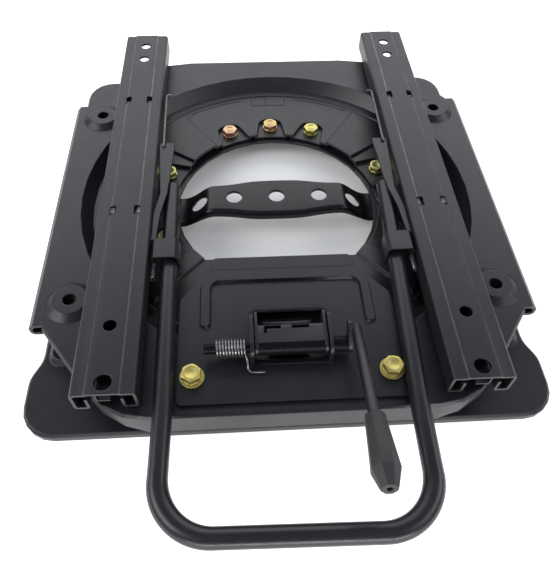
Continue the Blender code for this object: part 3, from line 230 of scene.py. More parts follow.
def painted(name, tone, roughness, radius, blue=0.3, peel=0.25, wear_and_highlight_tone=0.11, marks=None, shine=0.5):
    """Satin paint on steel: orange peel, faint handling marks, dust, and lighter edges, partly chipped and
    rubbed paint and partly a painted highlight.
    """
    paint = Finish(name)
    paint.set("Specular IOR Level", shine)
    rounded, lean = paint.edges(radius)
    edge = lean.band(0.03, 0.3)
    cloud = paint.noise(scale=11.0, detail=4.0, rough=0.6)
    smear = paint.noise(scale=48.0, detail=5.0, rough=0.7)
    fine = paint.noise(scale=900.0)
    chips = paint.noise(scale=310.0, detail=3.0, rough=0.7).band(0.5, 0.72)
    dust = paint.noise(scale=1700.0, detail=0.0).band(0.78, 0.82)
    wear_and_highlight = grey(wear_and_highlight_tone, 0.05)
    body = paint.mix(cloud.band(0.3, 0.7), grey(tone * 0.75, blue), grey(tone * 1.25, blue))
    # Lighter edges: chips and rubbed paint, and also a painted highlight along every edge.
    with_painted_light = paint.mix(edge * (0.3 + chips * 0.5), body, wear_and_highlight)
    if marks is not None:
        # Lines of painted highlight, such as those along the rails' steps.
        with_painted_light = paint.mix(marks(paint), with_painted_light, wear_and_highlight)
    paint.set("Base Color", paint.mix(dust * 0.3, with_painted_light, grey(0.2)))
    paint.set("Roughness", smear.band(0.25, 0.8) * 0.1 + (roughness - 0.05) + fine * 0.03)
    paint.bump(fine + cloud * 0.5, 0.08 * MM, peel, Normal=rounded)
    return paint.material


def zinc(name, gold, tint, rough=0.3):
    """Yellow zinc plate: metallic, with patches of a second hue, stains, sides painted darker and browner as
    shade, and bright edges.
    """
    plate = Finish(name)
    rounded, lean = plate.edges(0.5 * MM)
    patch = plate.noise(scale=230.0, detail=3.0, rough=0.6)
    grit = plate.noise(scale=1300.0, detail=3.0, rough=0.65)
    stain = scaled(gold, 0.3, 0.22, 0.25)
    shaded_brown = scaled(gold, 0.5, 0.42, 0.5)
    bare = (0.9, 0.82, 0.55, 1.0)
    body = plate.mix(patch.band(0.38, 0.62), (*gold, 1.0), (*tint, 1.0))
    dull = plate.mix(grit.band(0.56, 0.72) * 0.6, body, stain)
    # Painted shade: faces that turn away from the top are darkened towards a browner tone, in patches.
    side = 1.0 - plate.upward().band(0.15, 0.7)
    with_painted_light = plate.mix(side * patch.band(0.2, 0.55) * 0.8, dull, shaded_brown)
    plate.set("Base Color", plate.mix(lean.band(0.06, 0.4) * 0.5, with_painted_light, bare))
    plate.set("Metallic", 0.8)
    plate.set("Roughness", grit * 0.3 + (rough - 0.1))
    plate.bump(grit + patch * 0.6, 0.14 * MM, 0.6, Normal=rounded)
    return plate.material


def nutted(name, tone, roughness, gold):
    """The retaining ring's paint, with the bare zinc of its weld nuts on the underside."""
    both = Finish(name)
    rounded, lean = both.edges(0.6 * MM)
    x, y, z = both.parts()
    underside = near("retainer_ring")[1].z - 2.5
    under = 1.0 - z.band((underside - 0.5) * MM, (underside - 0.1) * MM)
    nut = under * (1.0 - both.from_axis().band((NUT_REACH - 0.2) * MM, (NUT_REACH + 0.2) * MM))
    grit = both.noise(scale=900.0, detail=3.0, rough=0.6)
    bare = both.mix(grit.band(0.35, 0.65), (*gold, 1.0), scaled(gold, 0.6, 0.6, 1.0))
    # Lighter edges: rubbed paint and a painted highlight along every edge.
    black = both.mix(lean.band(0.03, 0.3) * 0.4, grey(tone, 0.3), grey(0.09))
    both.set("Base Color", both.mix(nut, black, bare))
    both.set("Metallic", nut * 0.8)
    both.set("Roughness", grit * 0.1 + roughness)
    both.bump(grit, 0.06 * MM, 0.3, Normal=rounded)
    return both.material


def steel(name, tone, roughness):
    """Oiled spring steel, a little stained."""
    metal = Finish(name)
    stain = metal.noise(scale=420.0, detail=4.0, rough=0.6)
    metal.set("Base Color", metal.mix(stain.band(0.35, 0.7), grey(tone), grey(tone * 0.45)))
    metal.set("Metallic", 0.9)
    metal.set("Roughness", stain * 0.25 + (roughness - 0.1))
    metal.bump(stain, 0.04 * MM, 0.4)
    return metal.material


def plastic(name, tone, roughness, grain):
    """Moulded plastic with a fine spark-eroded grain and rubbed edges."""
    skin = Finish(name)
    rounded, lean = skin.edges(0.6 * MM)
    coarse = skin.noise(scale=grain, rough=0.6)
    cloud = skin.noise(scale=60.0, detail=3.0)
    body = skin.mix(cloud.band(0.3, 0.7), grey(tone * 0.88), grey(tone * 1.1))
    skin.set("Base Color", skin.mix(lean.band(0.03, 0.3) * 0.5, body, grey(tone * 1.9)))
    skin.set("Roughness", coarse * 0.15 + roughness - 0.07)
    skin.bump(coarse, 0.1 * MM, 0.35, Normal=rounded)
    return skin.material


# Places and sizes.

def mm(length):
    """A length from the panel, in millimetres."""
    return length / MM


def near(node):
    """Lowest and highest corner of a node, in the pieces' millimetres."""
    low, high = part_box(node)
    return Vector(low) / MM - MIDDLE, Vector(high) / MM - MIDDLE


def centre(node):
    low, high = near(node)
    return (low + high) / 2


def level_at(node, x, y):
    """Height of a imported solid's top at a place."""
    start = (Vector((x, y, 200.0)) + MIDDLE) * MM
    hit, spot = frame["nodes"][node].ray_cast(start, Vector((0.0, 0.0, -1.0)))[:2]
    if not hit:
        raise RuntimeError(f"nothing of {node} lies under ({x}, {y})")
    return spot.z / MM


def between(value, stops):
    """Straight-line interpolation in a short list of (position, value) stops."""
    if value <= stops[0][0]:
        return stops[0][1]
    for (start, low), (end, high) in zip(stops, stops[1:]):
        if value <= end:
            return low + (high - low) * (value - start) / (end - start)
    return stops[-1][1]


def eased(value, stops, reach):
    """The same for a distance to either side, with its corners rounded over a reach."""
    offsets = [reach * (number / 4 - 1.0) for number in range(9)]
    return sum(between(abs(value + offset), stops) for offset in offsets) / len(offsets)


# Outlines, and forms as verts and faces.

def disc(radius, sides):
    """Points (a, b) of a circle."""
    angles = [2 * math.pi * number / sides for number in range(sides)]
    return [(radius * math.cos(angle), radius * math.sin(angle)) for angle in angles]


def arc(middle, radius, start, end, steps):
    """Points (a, b) of an arc, angles in degrees."""
    angles = [math.radians(start + (end - start) * number / steps) for number in range(steps + 1)]
    return [(middle[0] + radius * math.cos(angle), middle[1] + radius * math.sin(angle)) for angle in angles]


def mirrored(points):
    """Half of an outline, followed by its mirror image in a = 0."""
    return points + [(-a, b) for a, b in points[::-1]]


def banded(path, thick):
    """Outline of a sheet whose face follows a path of (a, b) points, with its thickness to the left."""
    points = [Vector(point) for point in path]
    inner = []
    for index, point in enumerate(points):
        ways = []
        if index:
            ways.append((point - points[index - 1]).normalized())
        if index < len(points) - 1:
            ways.append((points[index + 1] - point).normalized())
        lefts = [Vector((-way.y, way.x)) for way in ways]
        left = (lefts[0] + lefts[-1]).normalized()
        inner.append(point + left * thick / left.dot(lefts[0]))
    return [tuple(point) for point in points + inner[::-1]]


def skinned(loops, caps=True):
    """A form stretched over loops of points. A loop of one point closes it there."""
    sides = max(len(loop) for loop in loops)
    verts = []
    rings = []
    for loop in loops:
        numbers = list(range(len(verts), len(verts) + len(loop)))
        rings.append(numbers if len(loop) == sides else numbers * sides)
        verts += loop
    faces = []
    for low, high in zip(rings, rings[1:]):
        for number in range(sides):
            after = (number + 1) % sides
            corners = list(dict.fromkeys((low[number], low[after], high[after], high[number])))
            if len(corners) > 2:
                faces.append(corners)
    if caps:
        faces += [rings[0][::-1], rings[-1]]
    return verts, faces


def lathe(profile, sides=32, place=Matrix()):
    """A profile of (radius, height) points turned round Z."""
    loops = []
    for radius, height in profile:
        points = disc(radius, sides) if radius > 0.0 else [(0.0, 0.0)]
        loops.append([place @ Vector((x, y, height)) for x, y in points])
    return skinned(loops, caps=False)


def swept(points, section, caps=True, widths=None):
    """A closed section of (across, up) points carried along a line without twist."""
    loops = []
    way = (points[1] - points[0]).normalized()
    side = way.cross(Vector((0, 0, 1)))
    if side.length < 0.01:
        side = way.cross(Vector((0, 1, 0)))
    for index, point in enumerate(points):
        ahead = points[min(index + 1, len(points) - 1)]
        behind = points[max(index - 1, 0)]
        fresh = (ahead - behind).normalized()
        side = (way.rotation_difference(fresh) @ side).normalized()
        way = fresh
        up = side.cross(way)
        wide = widths[index] if widths else 1.0
        loops.append([point + side * across * wide + up * rise for across, rise in section])
    return skinned(loops, caps)


def prism(outline, start, end, along="x"):
    """An outline carried straight along X, as (y, z) points, or along Y, as (x, z) points."""
    if along == "x":
        return skinned([[Vector((level, a, b)) for a, b in outline] for level in (start, end)])
    return skinned([[Vector((a, level, b)) for a, b in outline] for level in (start, end)])


def boxed(low, high):
    """A box between two corners."""
    outline = [(low[0], low[2]), (high[0], low[2]), (high[0], high[2]), (low[0], high[2])]
    return prism(outline, low[1], high[1], "y")


def drill(x, y, radius, low, high):
    """An upright round cutter."""
    return moved(lathe([(0.0, low), (radius, low), (radius, high), (0.0, high)], 64), (x, y, 0.0))


def turned_to(way, origin):
    """Matrix that stands Z along a direction at an origin."""
    spin = Vector((0, 0, 1)).rotation_difference(Vector(way)).to_matrix().to_4x4()
    return Matrix.Translation(Vector(origin)) @ spin


def moved(form, offset):
    return [vert + Vector(offset) for vert in form[0]], form[1]


def shaded(mesh, sharp):
    """Smooth shading that leaves the edges over an angle in degrees sharp."""
    mesh.shade_smooth()
    mesh.set_sharp_from_angle(angle=math.radians(sharp))


def mesh_of(name, forms):
    """One mesh from forms, in its place and with its faces turned out."""
    bm = bmesh.new()
    for verts, faces in forms:
        made = [bm.verts.new((vert + MIDDLE) * MM) for vert in verts]
        for face in faces:
            bm.faces.new([made[index] for index in face])
    bmesh.ops.recalc_face_normals(bm, faces=bm.faces)
    mesh = bpy.data.meshes.new(name)
    bm.to_mesh(mesh)
    bm.free()
    return mesh


def linked(name, data):
    """An object in the scene for a mesh, a lamp or a camera."""
    item = bpy.data.objects.new(name, data)
    bpy.context.scene.collection.objects.link(item)
    return item


def piece(name, forms, finish, body, replaced=(), bevel=0.0, sharp=38.0):
    """One object from forms, with rounded edges where asked, riding on a body."""
    mesh = mesh_of(name, forms)
    shaded(mesh, sharp)
    mesh.materials.append(MATERIALS[finish])
    form = linked(name, mesh)
    if bevel > 0.0:
        step = form.modifiers.new("edges", "BEVEL")
        step.width = bevel * MM
        step.segments = 2
        step.limit_method = "ANGLE"
        step.angle_limit = math.radians(sharp)
        step.harden_normals = True
    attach(form, body)
    if replaced:
        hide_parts(*replaced)
    return form


def drilled(form, cutters):
    """Cuts forms, none of which meets another, out of a piece."""
    cutter = linked("cutter", mesh_of("cutter", cutters))
    step = form.modifiers.new("holes", "BOOLEAN")
    step.operation = "DIFFERENCE"
    step.solver = "EXACT"
    step.object = cutter
    bpy.context.view_layer.update()
    holed = bpy.data.meshes.new_from_object(form.evaluated_get(bpy.context.evaluated_depsgraph_get()))
    form.modifiers.remove(step)
    form.data = holed
    bpy.data.objects.remove(cutter)
    shaded(holed, 32.0)


# Pieces.

def make_strap(sizes):
    """Strap across the hole: rolled edges, eased folds, narrow ends and five holes."""
    low, high = near("cable_strap")
    middle_y = (low.y + high.y) / 2
    half_long = high.x
    sheet = mm(sizes.strap_sheet)
    foot = low.z + sheet
    end_round = 5.0
    widest_roll = 3.6
    steps = 106
    heights = ((62.0, high.z), (82.0, foot))
    halves = ((0.0, 22.2), (22.0, 21.8), (42.0, 17.8), (60.0, 16.6), (78.0, 17.4), (half_long + 20.0, 17.6))
    lips = ((64.0, 7.5), (78.0, sheet))
    loops = []
    for number in range(steps + 1):
        x = half_long * (number * 2 / steps - 1.0)
        top = eased(x, heights, 5.0)
        half = eased(x, halves, 9.0)
        past = end_round - (half_long - abs(x))
        if past > 0.0:
            half -= end_round - math.sqrt(max(0.0, end_round ** 2 - past ** 2))
        lip = eased(x, lips, 4.0)
        roll = min(widest_roll, lip * 0.9)
        inner = max(roll - sheet, 0.15)
        outside = [(half, -lip)] + arc((half - roll, -roll), roll, 0.0, 90.0, 8)
        under = [(half - sheet, -lip)] + arc((half - sheet - inner, -sheet - inner), inner, 0.0, 90.0, 4)
        if lip < sheet + 1.0:
            # The edge is flat here, so its underside is all but straight.
            under = [(half - sheet - 0.1 * step, 0.001 * step - lip) for step in range(len(under))]
        section = mirrored(outside) + mirrored(under)[::-1]
        loops.append([Vector((x, middle_y + a, top + b)) for a, b in section])
    strap = piece("strap_fine", [skinned(loops)], "paint_strap", "turntable", ("cable_strap",))
    hole = 7.3
    rivet_hole = 3.1
    places = [(0.0, hole)]
    for side in (-1.0, 1.0):
        places += [(side * 39.0, hole), (side * 71.0, hole), (side * 99.5, rivet_hole)]
    drilled(strap, [drill(x, middle_y, radius, 0.0, 50.0) for x, radius in places])


def make_pawl():
    """Latch pawl: a slotted plate behind its sleeve, two side plates, and a foot with the tooth below."""
    low, high = near("latch_pawl")
    shaft = centre("latch_shaft")
    sheet = 2.2
    bore = 3.95
    sleeve = 6.2
    chamfer = 0.4
    bend = 2.7
    half = high.x
    foot_half = half - 8.0
    tooth_half = half - 9.0
    top = high.z
    rear = shaft.y + 15.9
    foot = low.z + 12.5
    path = [(rear, top - 9.0)] + arc((rear - bend, top - bend), bend, 0.0, 90.0, 7) + [(shaft.y, top)]
    pawl = piece("pawl_fine", [prism(banded(path, sheet), -half, half)], "paint_dark", "latch",
                 ("latch_pawl",))
    # Two slots along the rear edge. The left one's leg to the front is a cut of its own.
    for cuts in (((-19.2, -7.0, 4.6, 1.7), (0.8, 13.5, 4.6, 1.7)), ((-19.3, -17.4, 8.2, 3.0),)):
        drilled(pawl, [boxed((left, rear - ahead, top - 5.0), (right, rear - behind, top + 5.0))
                       for left, right, ahead, behind in cuts])
    web = [(high.y, foot - 1.5), (high.y - 1.0, foot), (rear + 1.5, foot), (rear, foot + 1.5),
           (rear, top - 8.5)]
    tooth = [(high.y - sheet, low.z), (high.y, low.z), (high.y, foot - 0.4), (high.y - sheet, foot - 0.4)]
    forms = [prism(banded(web, sheet), -foot_half, foot_half), prism(tooth, -tooth_half, tooth_half)]
    piece("pawl_foot", forms, "paint_shaded", "latch")
    cheek = arc((shaft.y, shaft.z), sleeve + 0.6, 90.0, 250.0, 14) + [(shaft.y + 8.0, shaft.z - 9.0)]
    cheek += [(high.y - 2.0, shaft.z - 6.0)] + arc((high.y - 3.4, top - 2.6), 3.4, 0.0, 90.0, 8)
    cheeks = [prism(cheek, *sorted((side * (half - 0.7), side * (half + 2.1)))) for name, side in SIDES]
    piece("pawl_cheeks", cheeks, "paint_dark", "latch", bevel=0.8)
    tube = [(bore, -half), (sleeve - chamfer, -half), (sleeve, chamfer - half), (sleeve, half - chamfer),
            (sleeve - chamfer, half), (bore, half), (bore, -half)]
    place = turned_to((1.0, 0.0, 0.0), (0.0, shaft.y, shaft.z))
    piece("pawl_sleeve", [lathe(tube, 48, place)], "paint_shaded", "latch")


def make_rim():
    """Rolled front and rear edges of the carrier's window."""
    top = level_at("latch_carrier", 0.0, -110.0)
    sheet = 2.5
    half = 26.9
    rear = -126.0
    front = -177.0
    lap = 0.2
    lip = [(rear + lap, top - 0.03), (rear + lap, top - sheet), (rear - 4.0, top - sheet)]
    lip += arc((rear - 2.6, top - 1.73), 1.7, 180.0, 90.0, 6)
    nose = [(front - lap, top - sheet), (front + 2.6, top - sheet)]
    nose += arc((front + 1.2, top - 0.9), 1.4, 0.0, 90.0, 6) + [(front - lap, top + 0.5)]
    forms = [prism(lip, -half, half), prism(nose, -half, half)]
    piece("window_rim", forms, "paint_dark", "turntable")


def make_channels(sizes):
    """Upper rails: C-channels with bent corners, a raised middle strip, holes and windows."""
    sheet = 2.0
    bend = 2.8
    lip_bend = 2.4
    lip_x = 11.2
    window = Vector((2.6, 5.2, 5.0))
    for name, side in SIDES:
        node = f"rail_channel_{name}"
        low, high = near(node)
        middle = (low.x + high.x) / 2
        half = (high.x - low.x) / 2
        top = high.z
        shoulder = top - 0.8
        bottom = top - mm(sizes.rail_depth)
        right = [(lip_x, top - 8.0)]
        right += arc((lip_x + lip_bend, bottom + lip_bend), lip_bend, 180.0, 270.0, 5)
        right += arc((half - bend, bottom + bend), bend, 270.0, 360.0, 7)
        right += arc((half - bend, shoulder - bend), bend, 0.0, 90.0, 7)
        # The inner side leaves out the step's small corners, which would make it cross itself.
        plain = banded(mirrored(right + [(12.1, shoulder), (11.3, top)]), sheet)
        right += [(12.5, shoulder), (12.1, shoulder + 0.15), (11.5, top - 0.15), (11.1, top)]
        outline = [(x + middle, z) for x, z in mirrored(right) + plain[len(plain) // 2:]]
        rail = piece(f"channel_{name}_fine", [prism(outline, low.y, high.y, "y")], "paint_rail", "slides",
                     (node,))
        cuts = [drill(middle, y, radius, top - 6.0, top + 5.0) for y, radius in RAIL_HOLES]
        spots = [Vector((middle + across, y, top)) for across, y in RAIL_WINDOWS]
        drilled(rail, cuts + [boxed(spot - window, spot + window) for spot in spots])


def make_collars():
    """Drawn collars under the holes of the four bosses."""
    hole = 5.5
    wall = 7.0
    bottom = 29.0
    top = 38.7
    collar = lathe([(hole, bottom), (wall, bottom), (wall, top), (hole, top), (hole, bottom)], 40)
    forms = [moved(collar, (x, y, 0.0)) for x, y in BOSSES]
    piece("boss_collars", forms, "paint_dark", "turntable")


def make_tabs():
    """Tabs pressed out of the rails: those that close the windows, and the stop at the front end."""
    reach = Vector((3.0, 6.0, 0.6))
    for name, side in SIDES:
        low, high = near(f"rail_channel_{name}")
        middle = (low.x + high.x) / 2
        forms = []
        for across, y in RAIL_WINDOWS:
            spot = Vector((middle + across, y, high.z - 3.5))
            tab = boxed(spot - reach, spot + reach)
            for vert in tab[0]:
                vert.z -= 0.4 if vert.y > y else 0.0
            forms.append(tab)
        path = [(-5.8, high.z - 1.5)] + arc((-4.0, high.z - 9.4), 1.8, 180.0, 270.0, 5)
        path.append((4.0, high.z - 11.2))
        stop = [(middle - side * x, z) for x, z in banded(path, 1.3)]
        forms.append(prism(stop, low.y + 0.4, low.y + 12.0, "y"))
        piece(f"rail_tabs_{name}", forms, "paint_rail", "slides", bevel=0.25)


def bead(points, wide, rise):
    """A low pressed ridge along a line of (x, y) points on the dish."""
    line = [Vector((x, y, level_at("turntable_plate", x, y))) for x, y in points]
    return swept(line, mirrored([(wide / 2, -0.3), (wide * 0.4, rise * 0.55), (wide * 0.2, rise)]))


def make_beads():
    """Fine pressed lines in the dish behind the rear bolts: two long arcs, a short one and three across."""
    axis = (0.0, SWIVEL_BACK)
    broad = (1.3, 0.35)
    narrow = (1.1, 0.3)
    forms = [bead(arc(axis, 153.5, start, end, 24), *broad) for start, end in ((58.0, 79.0), (101.0, 122.0))]
    forms.append(bead(arc(axis, 143.0, 83.0, 97.2, 16), *narrow))
    for x in (-18.0, -3.0, 17.5):
        forms.append(bead([(x, 147.5 + number * 2.2) for number in range(8)], *narrow))
    piece("dish_lines", forms, "paint_plate", "turntable")


def bolt_head(flats, height, sides=96):
    """Hexagon head with a chamfered crown and a shallow dish, standing on z = 0."""
    apothem = flats / 2
    crown = apothem * 0.97
    dish = 0.35
    loops = [[Vector((0.0, 0.0, height - dish))]]
    for share, drop in ((0.55, dish), (0.63, 0.0), (1.0, 0.0)):
        loops.append([Vector((x, y, height - drop)) for x, y in disc(crown * share, sides)])
    corner = math.pi / 3
    rim = []
    for x, y in disc(1.0, sides):
        angle = math.atan2(y, x) + corner / 2
        radius = apothem / math.cos(angle % corner - corner / 2)
        rim.append(Vector((x * radius, y * radius, height - (radius - crown) * 0.62)))
    foot = [Vector((vert.x, vert.y, 0.0)) for vert in rim]
    verts, faces = skinned(loops + [rim, foot], caps=False)
    first = len(verts) - sides
    return verts, faces + [list(range(first, first + sides))[::-1]]


def threaded(radius, low, high, pitch=1.25, sides=20):
    """A shank with a helical thread that runs out at both ends."""
    deep = 0.62
    rows = 6
    steps = int((high - low) / pitch * rows)
    loops = []
    for row in range(steps + 1):
        level = low + (high - low) * row / steps
        run_out = min(1.0, row / 4, (steps - row) / 2)
        point = 0.5 * (1 - min(1.0, row / 3))
        loop = []
        for number, (x, y) in enumerate(disc(1.0, sides)):
            phase = (row / rows + number / sides) % 1.0
            reach = radius - deep * abs(phase - 0.5) * 2 * run_out - point
            loop.append(Vector((x * reach, y * reach, level)))
        loops.append(loop)
    return skinned(loops)


# What lies under a bolt's head: its profile, its sides, the height at which the head stands on it, and
# what it adds to the height of a head with its washer.
WASHER = ([(0.0, 0.0), (7.2, 0.0), (7.4, 0.2), (7.4, 1.0), (7.2, 1.2), (0.0, 1.2)], 40, 1.2, 0.0)
WASHERS = ([(0.0, 0.0), (8.8, 0.0), (9.0, 0.2), (9.0, 1.1), (8.8, 1.3), (7.3, 1.3), (7.3, 1.5), (7.5, 1.7),
            (7.5, 2.5), (7.3, 2.7), (0.0, 2.7)], 48, 2.6, 2.0)
BOLT_HUES = {1: "zinc_gold", 2: "zinc_lime", 3: "zinc_pink"}


def make_bolt(name, node, finish, turn, under, sizes):
    """One bolt in a node's place, turned by some degrees: head, what lies under it, and thread."""
    profile, sides, stand, extra = under
    low, high = near(node)
    spot = (low + high) / 2
    seat = high.z - mm(sizes.head_height) - extra
    verts, faces = bolt_head(mm(sizes.bolt_flats), high.z - seat - stand)
    spin = Matrix.Rotation(math.radians(turn), 4, "Z")
    forms = [moved(([spin @ vert for vert in verts], faces), (spot.x, spot.y, seat + stand)),
             moved(lathe(profile, sides), (spot.x, spot.y, seat)),
             moved(threaded(4.0, low.z, seat + 0.4), (spot.x, spot.y, 0.0))]
    piece(name, forms, finish, "turntable", (node,))


def make_bolts(sizes):
    """Every hexagon bolt again, with a chamfered head, washers and a thread."""
    for number in range(1, 10):
        finish = BOLT_HUES.get(number, "zinc_green")
        make_bolt(f"bolt_{number}_fine", f"ring_bolt_{number}", finish, 17.0 * (number - 1), WASHER, sizes)
    for name, side in SIDES:
        make_bolt(f"front_bolt_{name}_fine", f"carrier_bolt_{name}", "zinc_olive", 8.0 + 14.0 * side, WASHERS,
                  sizes)


def coil(first, last, radius, turns, start=0.0, steps=24):
    """Points of a helix between two ends of its axis."""
    first = Vector(first)
    last = Vector(last)
    place = turned_to(last - first, first)
    total = int(turns * steps)
    points = []
    for number in range(total + 1):
        angle = start + 2 * math.pi * number / steps
        along = (last - first).length * number / total
        points.append(place @ Vector((radius * math.cos(angle), radius * math.sin(angle), along)))
    return points


def smooth_line(points, steps=6):
    """A curve through points, as more points."""
    points = [Vector(point) for point in points]
    padded = [points[0] * 2 - points[1]] + points + [points[-1] * 2 - points[-2]]
    line = []
    for a, b, c, d in zip(padded, padded[1:], padded[2:], padded[3:]):
        for number in range(steps):
            t = number / steps
            line.append(0.5 * ((2 * b) + (c - a) * t + (2 * a - 5 * b + 4 * c - d) * t * t
                               + (3 * b - a - 3 * c + d) * t * t * t))
    return line + [points[-1]]


def make_springs():
    """The latch's return spring and the two small coils in front of the clips."""
    low, high = near("torsion_spring")
    shaft = centre("latch_shaft")
    y = shaft.y
    wire = 0.9
    start_x = low.x + wire
    turns = coil((start_x, y, shaft.z), (start_x + 20.5, y, shaft.z), high.z - shaft.z - wire, 9.5,
                 math.pi / 2, 28)
    last = turns[-1]
    floor = low.z + wire
    leg = [last, last + Vector((1.2, -1.6, -3.4)), (last.x + 1.6, y - 10.5, floor + 4.2),
           (last.x + 1.8, y - 12.8, floor + 1.3), (last.x + 4.0, y - 14.6, floor),
           (last.x + 9.0, y - 15.0, floor), (last.x + 14.0, y - 15.2, floor)]
    line = turns[:-1] + smooth_line(leg)
    piece("latch_spring_fine", [swept(line, disc(wire, 12))], "bright_spring", "turntable",
          ("torsion_spring",))
    wire = 0.5
    for name, side in SIDES:
        low, high = near(f"clip_spring_{name}")
        middle = (low + high) / 2
        line = coil((middle.x, high.y - wire, middle.z), (middle.x, low.y + wire, middle.z),
                    (high.z - low.z) / 2 - wire, 9.0, 0.0, 20)
        piece(f"clip_coil_{name}", [swept(line, disc(wire, 8))], "bright_spring", "handle",
              (f"clip_spring_{name}",))


def make_lever(sizes):
    """Lever rod with its flattened root, and the eight-sided grip with a soft edge at each face."""
    shaft = centre("latch_shaft")
    shaft_end = near("latch_shaft")[1].x
    grip = mm(sizes.grip_length)
    radius = mm(sizes.lever_radius)
    way = (LEVER_TIP - LEVER_TAIL).normalized()
    length = (LEVER_TIP - LEVER_TAIL).length - grip + 12.0
    rod = [(0.0, 0.0), (radius * 0.58, 0.0), (radius * 0.87, 0.6), (radius, 2.0), (radius, length - 6.0),
           (radius * 0.92, length), (0.0, length)]
    root = Vector((LEVER_TAIL.y - shaft.y, LEVER_TAIL.z - shaft.z))
    up = root.normalized()
    outline = arc((0.0, 0.0), 6.6, 180.0, 360.0, 12) + arc((0.0, root.length), 4.2, 0.0, 180.0, 10)
    outline = [(shaft.y - up.y * a + up.x * b, shaft.z + up.x * a + up.y * b) for a, b in outline]
    forms = [lathe(rod, 32, turned_to(way, LEVER_TAIL)), prism(outline, shaft_end - 3.0, shaft_end)]
    piece("lever_fine", forms, "paint_dark", "latch", ("latch_lever",), bevel=0.35)
    wide = grip - 11.5
    profile = [(4.6, 0.0), (6.1, 0.0), (6.7, 0.6), (7.5, wide * 0.35), (8.4, wide * 0.7), (9.2, wide - 0.4),
               (9.1, wide), (5.6, grip - 0.8), (5.0, grip), (2.2, grip), (1.8, grip - 0.6), (1.6, wide),
               (0.0, wide)]
    place = turned_to(way, LEVER_TIP - way * grip) @ Matrix.Rotation(math.pi / 8, 4, "Z")
    piece("grip_fine", [lathe(profile, 8, place)], "grip_plastic", "latch", ("latch_grip",),
          bevel=0.5, sharp=20.0)


def handle_path(low, high, radius):
    """Middle line of the handle and how wide it is: legs that draw together, pressed bends and the bar."""
    z = (low.z + high.z) / 2
    bend = 36.0
    flare = 1.3
    flare_from = 0.82
    swell = 0.08
    leg_steps = 30
    bend_steps = 20
    rear = high.y
    front = low.y + radius
    rear_x = high.x - radius
    front_x = 87.5
    start = front + bend
    left = []
    for number in range(leg_steps + 1):
        share = number / leg_steps
        out = flare * max(0.0, share - flare_from) / (1.0 - flare_from)
        x = (rear_x - front_x + flare) * share - out - rear_x
        left.append(Vector((x, rear + (start - rear) * share, z)))
    left += [Vector((x, y, z)) for x, y in arc((bend - front_x, start), bend, 180.0, 270.0, bend_steps)[1:]]
    bar = [Vector(((front_x - bend) * (number / 5 - 1.0), front, z)) for number in range(1, 10)]
    swells = [math.sin(math.pi * (number / bend_steps) ** 0.7) for number in range(bend_steps + 1)]
    widths = [1.0] * leg_steps + [1.0 + swell * share for share in swells]
    right = [Vector((-point.x, point.y, point.z)) for point in left[::-1]]
    return left + bar + right, widths + [1.0] * len(bar) + widths[::-1]


def make_handle(sizes):
    """The bent tube with open rear ends. Its play lets it lean a little to the left."""
    low, high = near("handle_tube")
    radius = (high.z - low.z) / 2
    wall = 1.5
    line, widths = handle_path(low, high, radius)
    pivot = Vector((0.0, near("pivot_pin_left")[0].y + 4.0, 0.0))
    lean = Matrix.Rotation(-sizes.handle_lean, 4, "Z")
    line = [pivot + lean @ (point - pivot) for point in line]
    count = sizes.tube_sides
    outer = swept(line, disc(radius, count), caps=False, widths=widths)
    inner = swept(line, disc(radius - wall, count), caps=False, widths=widths)
    shift = len(outer[0])
    faces = outer[1] + [[index + shift for index in face[::-1]] for face in inner[1]]
    for start in (0, shift - count):
        for number in range(count):
            a = start + number
            b = start + (number + 1) % count
            faces.append([a, b, shift + b, shift + a])
    piece("handle_fine", [(outer[0] + inner[0], faces)], "paint_tube", "handle",
          ("handle_tube",), bevel=0.3)


# Finishes.

def make_finishes(sizes):
    """Every finish under the name that the pieces and nodes use."""
    tone = sizes.paint_tone
    rough = sizes.paint_roughness
    MATERIALS.update({
        "paint_plate": painted("satin black plate", tone, rough, 1.3 * MM),
        # The rail's lines along its pressed steps are a painted highlight.
        "paint_rail": painted("satin black rail", tone * 1.2, rough + 0.02, 0.7 * MM, blue=0.2,
                              wear_and_highlight_tone=0.17, marks=step_highlights),
        "paint_dark": painted("satin black small parts", tone, rough - 0.02, 0.6 * MM),
        "paint_strap": painted("satin black strap", tone * 0.6, rough - 0.1, 1.2 * MM, shine=0.36),
        # A darker, less glossy copy of the black paint, as painted shade on the latch's shaft, bush, sleeve
        # and the pawl's foot.
        "paint_shaded": painted("shaded black shaft", tone * 0.5, rough, 0.6 * MM, shine=0.1),
        "paint_carrier": painted("satin black carrier", tone * 0.9, rough - 0.02, 0.6 * MM, shine=0.44),
        "paint_tube": painted("satin black tube", tone, rough - 0.04, 0.5 * MM, peel=0.2),
        "paint_nuts": nutted("satin black ring with zinc nuts", tone, rough, (0.62, 0.56, 0.24)),
        "zinc_gold": zinc("gold zinc", (0.66, 0.43, 0.2), (0.6, 0.47, 0.2)),
        "zinc_pink": zinc("pink zinc", (0.66, 0.34, 0.24), (0.64, 0.5, 0.26)),
        "zinc_lime": zinc("lime zinc", (0.6, 0.6, 0.13), (0.62, 0.52, 0.22)),
        "zinc_green": zinc("green zinc", (0.5, 0.52, 0.18), (0.56, 0.48, 0.2)),
        "zinc_olive": zinc("olive zinc", (0.6, 0.5, 0.12), (0.52, 0.47, 0.17), rough=0.34),
        "bright_spring": steel("spring wire", 0.26, 0.3),
        "dark_steel": steel("dark steel", 0.16, 0.36),
        "grip_plastic": plastic("grip plastic", sizes.grip_tone, 0.55, grain=1700.0),
        "nylon": plastic("glide nylon", 0.4, 0.5, grain=800.0)})


